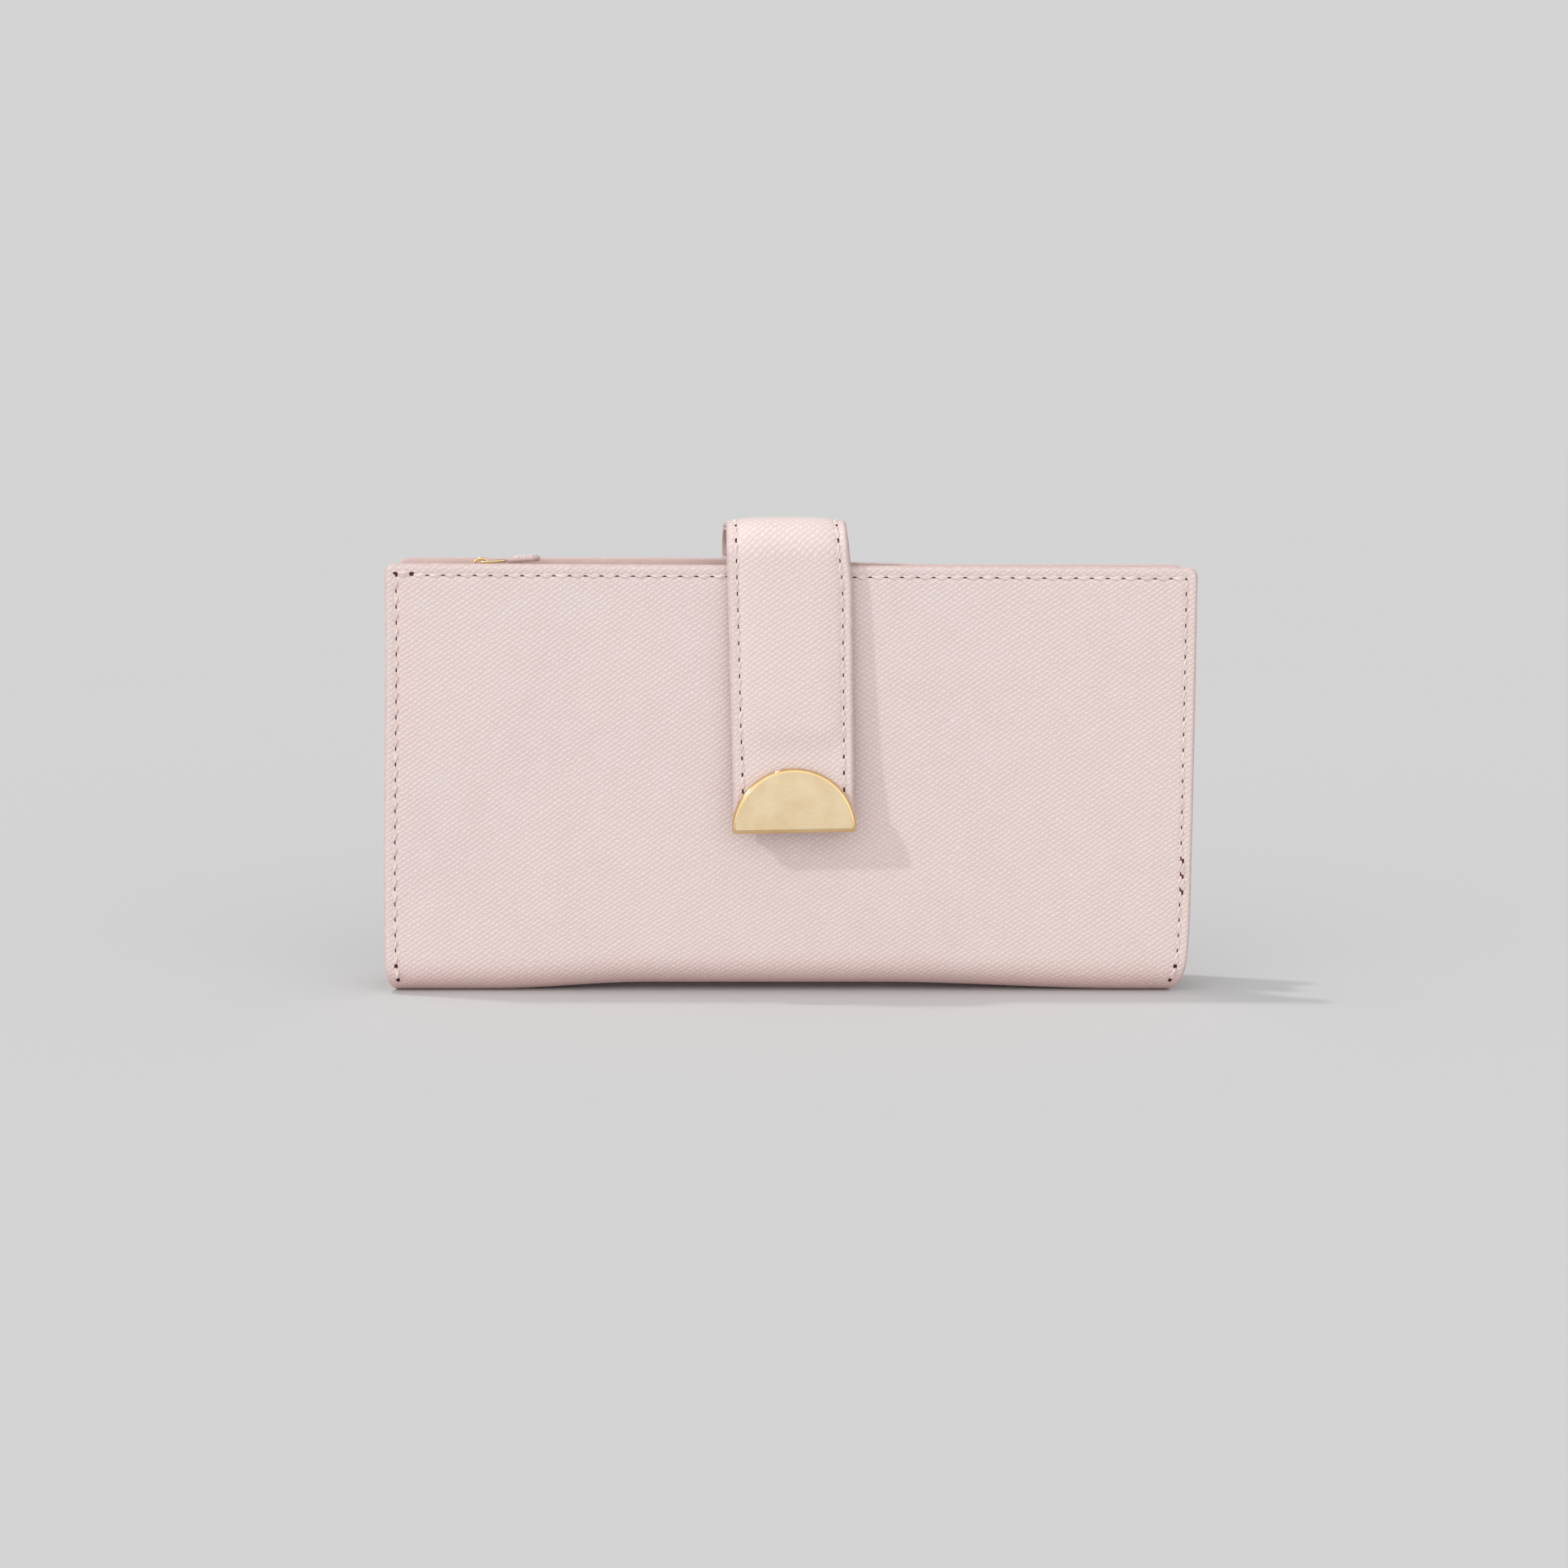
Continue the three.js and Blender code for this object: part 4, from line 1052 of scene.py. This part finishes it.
front_pockets = [Panel("front_note_pocket", "front_cover", 1, ["front_lining_leather"])]
for number in range(1, 5):
    behind = "front_note_pocket_sheet" if number == 1 else f"front_card_slot_{number - 1}_sheet"
    front_pockets.append(Panel(f"front_card_slot_{number}", "front_cover", 1, [behind]))
side_pocket = Panel("front_side_pocket", "front_cover", 1, ["front_note_pocket_sheet"])
wall_front = Panel("pouch_front_wall", "back_cover", -1, ["pouch_floor_sheet"], 0.54, slack=False)
wall_back = Panel("pouch_back_wall", "back_cover", 1, ["pouch_floor_sheet"], 0.54, slack=False)
pouch_slots = [
    Panel("pouch_card_slot_1", "back_cover", -1, ["pouch_front_wall_sheet"]),
    Panel("pouch_card_slot_2", "back_cover", -1, ["pouch_card_slot_1_sheet"]),
]
for pocket in [*front_pockets, side_pocket, wall_front, wall_back, *pouch_slots]:
    pocket.make()
front_pockets[0].sew(bottom=POCKET_SEAM_INSET, across=True)
side_pocket.sew(bottom=POCKET_SEAM_INSET, across=True)
for row in (front_pockets[1:], pouch_slots):
    for lower, upper in zip(row[1:], row):
        upper.sew(bottom=lower.height + 1.0)
    row[-1].sew(bottom=POCKET_SEAM_INSET, across=True)


class Gusset:
    """A narrow strip folded in on itself lengthwise, which closes a side or the floor of a pocket
    and runs along Z, or along X for the floor."""

    def __init__(self, node, run, fold):
        self.node = node
        self.low, self.high = millimetres(node)
        self.run = run
        self.fold = fold
        axis = 2 if run == "z" else 0
        half = (self.high[1] - self.low[1]) / 2 - 0.03
        self.half = half
        self.sheet = Sheet(
            0, self.high[axis] - self.low[axis], half, half, self.point,
            edge=0.15, step=(0.5, 3), corner=0.3, corners=("start", "end"),
        )

    def point(self, x, t, d):
        """x runs across the pocket's gap, and the fold's crease lies in the pocket."""
        room = (self.high - self.low)[0 if self.run == "z" else 2]
        dip = (room - 0.45) * (1 - np.abs(x) / self.half)
        y = (self.low[1] + self.high[1]) / 2 + x
        along = dip + 0.4 * (1 - d) / 2 + 0.02
        if self.run == "x":
            return np.stack([self.low[0] + t, y, self.low[2] + along * 0.6], -1)
        outer = self.low[0] if self.fold > 0 else self.high[0]
        return np.stack([outer + self.fold * along, y, self.low[2] + t], -1)

    def make(self):
        piece = self.sheet.build(f"{self.node}_sheet", SMOOTH)
        fasten(piece, "lining_leather", "back_cover", self.node)


Gusset("pouch_floor", "x", 1).make()
for place_name, fold in (("left", 1), ("right", -1)):
    Gusset(f"pouch_gusset_{place_name}", "z", fold).make()
    Gusset(f"note_gusset_{place_name}", "z", fold).make()


# ------------------------------------------------------------------ zip

TAPE_FOLD = 0.7


def make_tape(name, sign):
    """Half the zip's tape: it turns down from under the teeth inside a wall of the pouch."""
    low, high = millimetres(f"zip_tape_{name}")
    half = (high[0] - low[0]) / 2 - 0.1
    wall = (high[1] - CHAIN_MIDDLE if sign > 0 else CHAIN_MIDDLE - low[1]) - 0.05
    top = high[2] - 0.03
    flat_run = wall - 0.35 - TAPE_FOLD
    turn_run = TAPE_FOLD * math.pi / 2
    drop = top - TAPE_FOLD - low[2] - 0.1

    def point(x, t, d):
        angle = np.clip((t - flat_run) / TAPE_FOLD, 0, math.pi / 2)
        down = np.maximum(t - flat_run - turn_run, 0)
        out = 0.35 + np.minimum(t, flat_run) + TAPE_FOLD * np.sin(angle)
        below = TAPE_FOLD * (1 - np.cos(angle)) + down
        depth = (TAPE - 0.06) * (1 - d) / 2
        y = CHAIN_MIDDLE + sign * (out - depth * np.sin(angle))
        return np.stack([x, y, top - below - depth * np.cos(angle)], -1)

    sheet = Sheet(
        0, flat_run + turn_run + drop, half, half, point,
        edge=0.1, step=(4, 0.4), corner=0.5, corners=("start", "end"),
    )
    piece = sheet.build(f"zip_tape_{name}_woven", TAPE_CLOTH)
    fasten(piece, "zip_tape", "back_cover", f"zip_tape_{name}")
    sheet.declare(piece, "folded", [f"pouch_{name}_wall_sheet"])


make_tape("front", -1)
make_tape("back", 1)

chain_low, _ = millimetres("zip_chain")
teeth = []
tooth_count = int(2 * CHAIN_HALF_LENGTH / TOOTH_PITCH)
for side in (-1, 1):
    for k in range(tooth_count):
        x = -CHAIN_HALF_LENGTH + (k + 0.5 + side / 4) * TOOTH_PITCH
        middle = (x, CHAIN_MIDDLE + side * TOOTH_OFFSET, chain_low[2] + 0.65)
        teeth.append(rounded_block(TOOTH_HALF, 0.35, 0.16, middle, steps=2))
chain = new_object("zip_chain_teeth", *merged(teeth), POLISHED, sharp=40)
fasten(chain, "zip_metal", "back_cover", "zip_chain")
for side in ("left", "right"):
    low, high = millimetres(f"zip_stop_{side}")
    middle, half = (low + high) / 2, (high - low) / 2
    stop = new_object(f"zip_stop_{side}_clamp", *rounded_block(half, 0.5, 0.3, middle), POLISHED)
    fasten(stop, "zip_metal", "back_cover", f"zip_stop_{side}")

# the slider: a waisted shell with turned-down sides, and a bridge bent from round bar
slider_low, slider_high = millimetres("zip_slider")
slider_middle = (slider_low + slider_high) / 2
slider_half = (slider_high - slider_low) / 2


def slider_outline(inset):
    """Seen from above: broad where the two rows of teeth part, narrower where they close."""
    points = []
    for x, y in rounded_rectangle(slider_half[0] - inset, slider_half[1] - inset, 1.6 - inset, 8):
        narrow = 1 - 0.16 * smoothstep(-x, -2, 4)
        points.append((x + slider_middle[0], y * narrow + slider_middle[1]))
    return points


shell_levels = [(0.1, -0.3), (0.0, -0.15), (0.0, 0.1), (0.12, 0.24), (0.35, 0.3)]
slider_parts = [layered([slider_outline(i) for i, _ in shell_levels], [SHELL_Z + z for _, z in shell_levels])]
for side in (-1, 1):
    middle = (slider_middle[0], slider_middle[1] + side * (slider_half[1] - 0.32), SHELL_Z - 0.8)
    slider_parts.append(rounded_block((slider_half[0] - 1.4, 0.26, 0.8), 0.25, 0.1, middle))
bow = np.linspace(0, math.pi, 15)
bridge_path = [
    (PULL_HINGE[0] - 1.55 * math.cos(w), CHAIN_MIDDLE, SHELL_Z + 0.2 + 1.45 * math.sin(w) ** 0.7) for w in bow
]
slider_parts.append(tube(bridge_path, 0.36, sides=12))
slider = new_object("zip_slider_body", *merged(slider_parts), POLISHED, sharp=45)
fasten(slider, "zip_metal", "zip_slider", "zip_slider")


def on_pull(x, y, z):
    """From the pull's own frame, with its hinge bar along Y at the origin and its tab out along X."""
    c, s = math.cos(PULL_RISE), math.sin(PULL_RISE)
    return np.stack([x * c - z * s, y, z * c + x * s], -1) + np.array(PULL_HINGE)


def ring_path(x0, x1, half_width, radius, steps=5):
    """A rounded rectangle from x0 to x1, as a closed path in the pull's plane."""
    middle, half = (x0 + x1) / 2, (x1 - x0) / 2
    outline = rounded_rectangle(half, half_width, radius, steps)
    return np.array([(middle + x, y, 0.0) for x, y in outline])


link_parts = [
    tube(ring_path(0.0, 5.15, 1.62, 0.6), 0.32, sides=10, closed=True),
    tube([(3.9, y, 0.0) for y in (-1.6, -0.8, 0.8, 1.6)], 0.28, sides=10),
]
link = new_object("zip_pull_link_ring", *fitted(merged(link_parts), on_pull), POLISHED, sharp=45)
fasten(link, "zip_metal", "zip_pull", "zip_pull_link")



def tab_point(x, t, d):
    swell = 1 + 0.12 * np.cos(x / TAB_HALF_WIDTH * math.pi / 2)
    return on_pull(TAB_START + t, x, 0.52 * d * swell)


tab_sheet = Sheet(
    0, TAB_LENGTH, TAB_HALF_WIDTH, TAB_HALF_WIDTH, tab_point,
    edge=0.3, step=(0.6, 0.8), corner=1.4, upward=-1,
)
tab = tab_sheet.build("zip_pull_tab_leather", GRAIN)
fasten(tab, "cover_leather", "zip_pull", "zip_pull_tab")
side = TAB_HALF_WIDTH - TAB_SEAM_INSET
far = TAB_LENGTH - TAB_SEAM_INSET
tab_routes = [
    evenly((-side, 0.8), (-side, far - 0.6), 1.6),
    evenly((-side, far), (side, far), 1.4),
    evenly((side, far - 0.6), (side, 0.8), 1.6),
]
for piece in seam("zip_pull_tab_sewing", tab_routes, tab_sheet.surface, radius=0.12, hole=0.22):
    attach(piece, "zip_pull")


# ------------------------------------------------------------------ floor, light and camera

def stage_material():
    n = new_material("studio_floor")
    grain = n.noise(n.object_point(), 2.0)
    return n.finish(
        Base_Color=n.mix(grain, srgb(216, 216, 217), srgb(218, 218, 219)),
        Roughness=0.9,
        Specular_IOR_Level=0.1,
    )


corners = [(x * FLOOR_HALF, y * FLOOR_HALF, 0) for x, y in ((-1, -1), (1, -1), (1, 1), (-1, 1))]
floor = new_object("studio_floor", corners, [(0, 1, 2, 3)], stage_material())

unlit = bpy.data.collections.new("not_lit_by_key")
unlit.objects.link(floor)


def sun(name, heading, strength, spread_degrees, on_floor=False):
    """A distant lamp whose light travels along heading. It lights the floor only if told to."""
    lamp = bpy.data.lights.new(name, "SUN")
    lamp.energy = strength
    lamp.angle = math.radians(spread_degrees)
    holder = bpy.data.objects.new(name, lamp)
    holder.rotation_euler = Vector(heading).to_track_quat("-Z", "Y").to_euler()
    bpy.context.scene.collection.objects.link(holder)
    if not on_floor:
        holder.light_linking.receiver_collection = unlit
        unlit.collection_objects[0].light_linking.link_state = "EXCLUDE"


sun("overhead", (0.32, -0.11, -1.0), 0.6, 3, on_floor=True)
sun("key", (1.73, 1.0, -1.3), 1.0, 2.5)


def world_light():
    """Even grey behind the wallet, brighter behind the camera, and darker at the sides and above."""
    n = Nodes(bpy.data.worlds.new("studio"))
    heading = n.tree.nodes.new("ShaderNodeTexCoord").outputs["Generated"]
    x, y, z = n.split(heading)
    front = n.times(n.ramp(y, -0.1, -0.75), n.ramp(z, -0.3, 0.1))
    sides = n.times(n.ramp(n.math("ABSOLUTE", x), 0.7, 0.95), 0.4)
    above = n.times(n.ramp(z, 0.6, 0.95), 0.2)
    colour = n.mix(front, srgb(212, 212, 212), (1.335, 1.345, 1.335, 1.0))
    colour = n.mix(n.math("MAXIMUM", sides, above), colour, srgb(120, 118, 116))
    n.link(colour, n.tree.nodes["Background"].inputs["Color"])
    return n.owner


bpy.context.scene.world = world_light()
bpy.context.scene.view_settings.view_transform = "Standard"

camera = bpy.data.cameras.new("camera")
camera.sensor_width = 36
camera.lens = camera.sensor_width / 2 / math.tan(CAMERA_FIELD / 2)
camera.clip_end = 200
viewer = bpy.data.objects.new("camera", camera)
viewer.location = [value * MM for value in CAMERA_PLACE]
viewer.rotation_euler = (math.pi / 2 - CAMERA_PITCH, 0, 0)
bpy.context.scene.collection.objects.link(viewer)
bpy.context.scene.camera = viewer
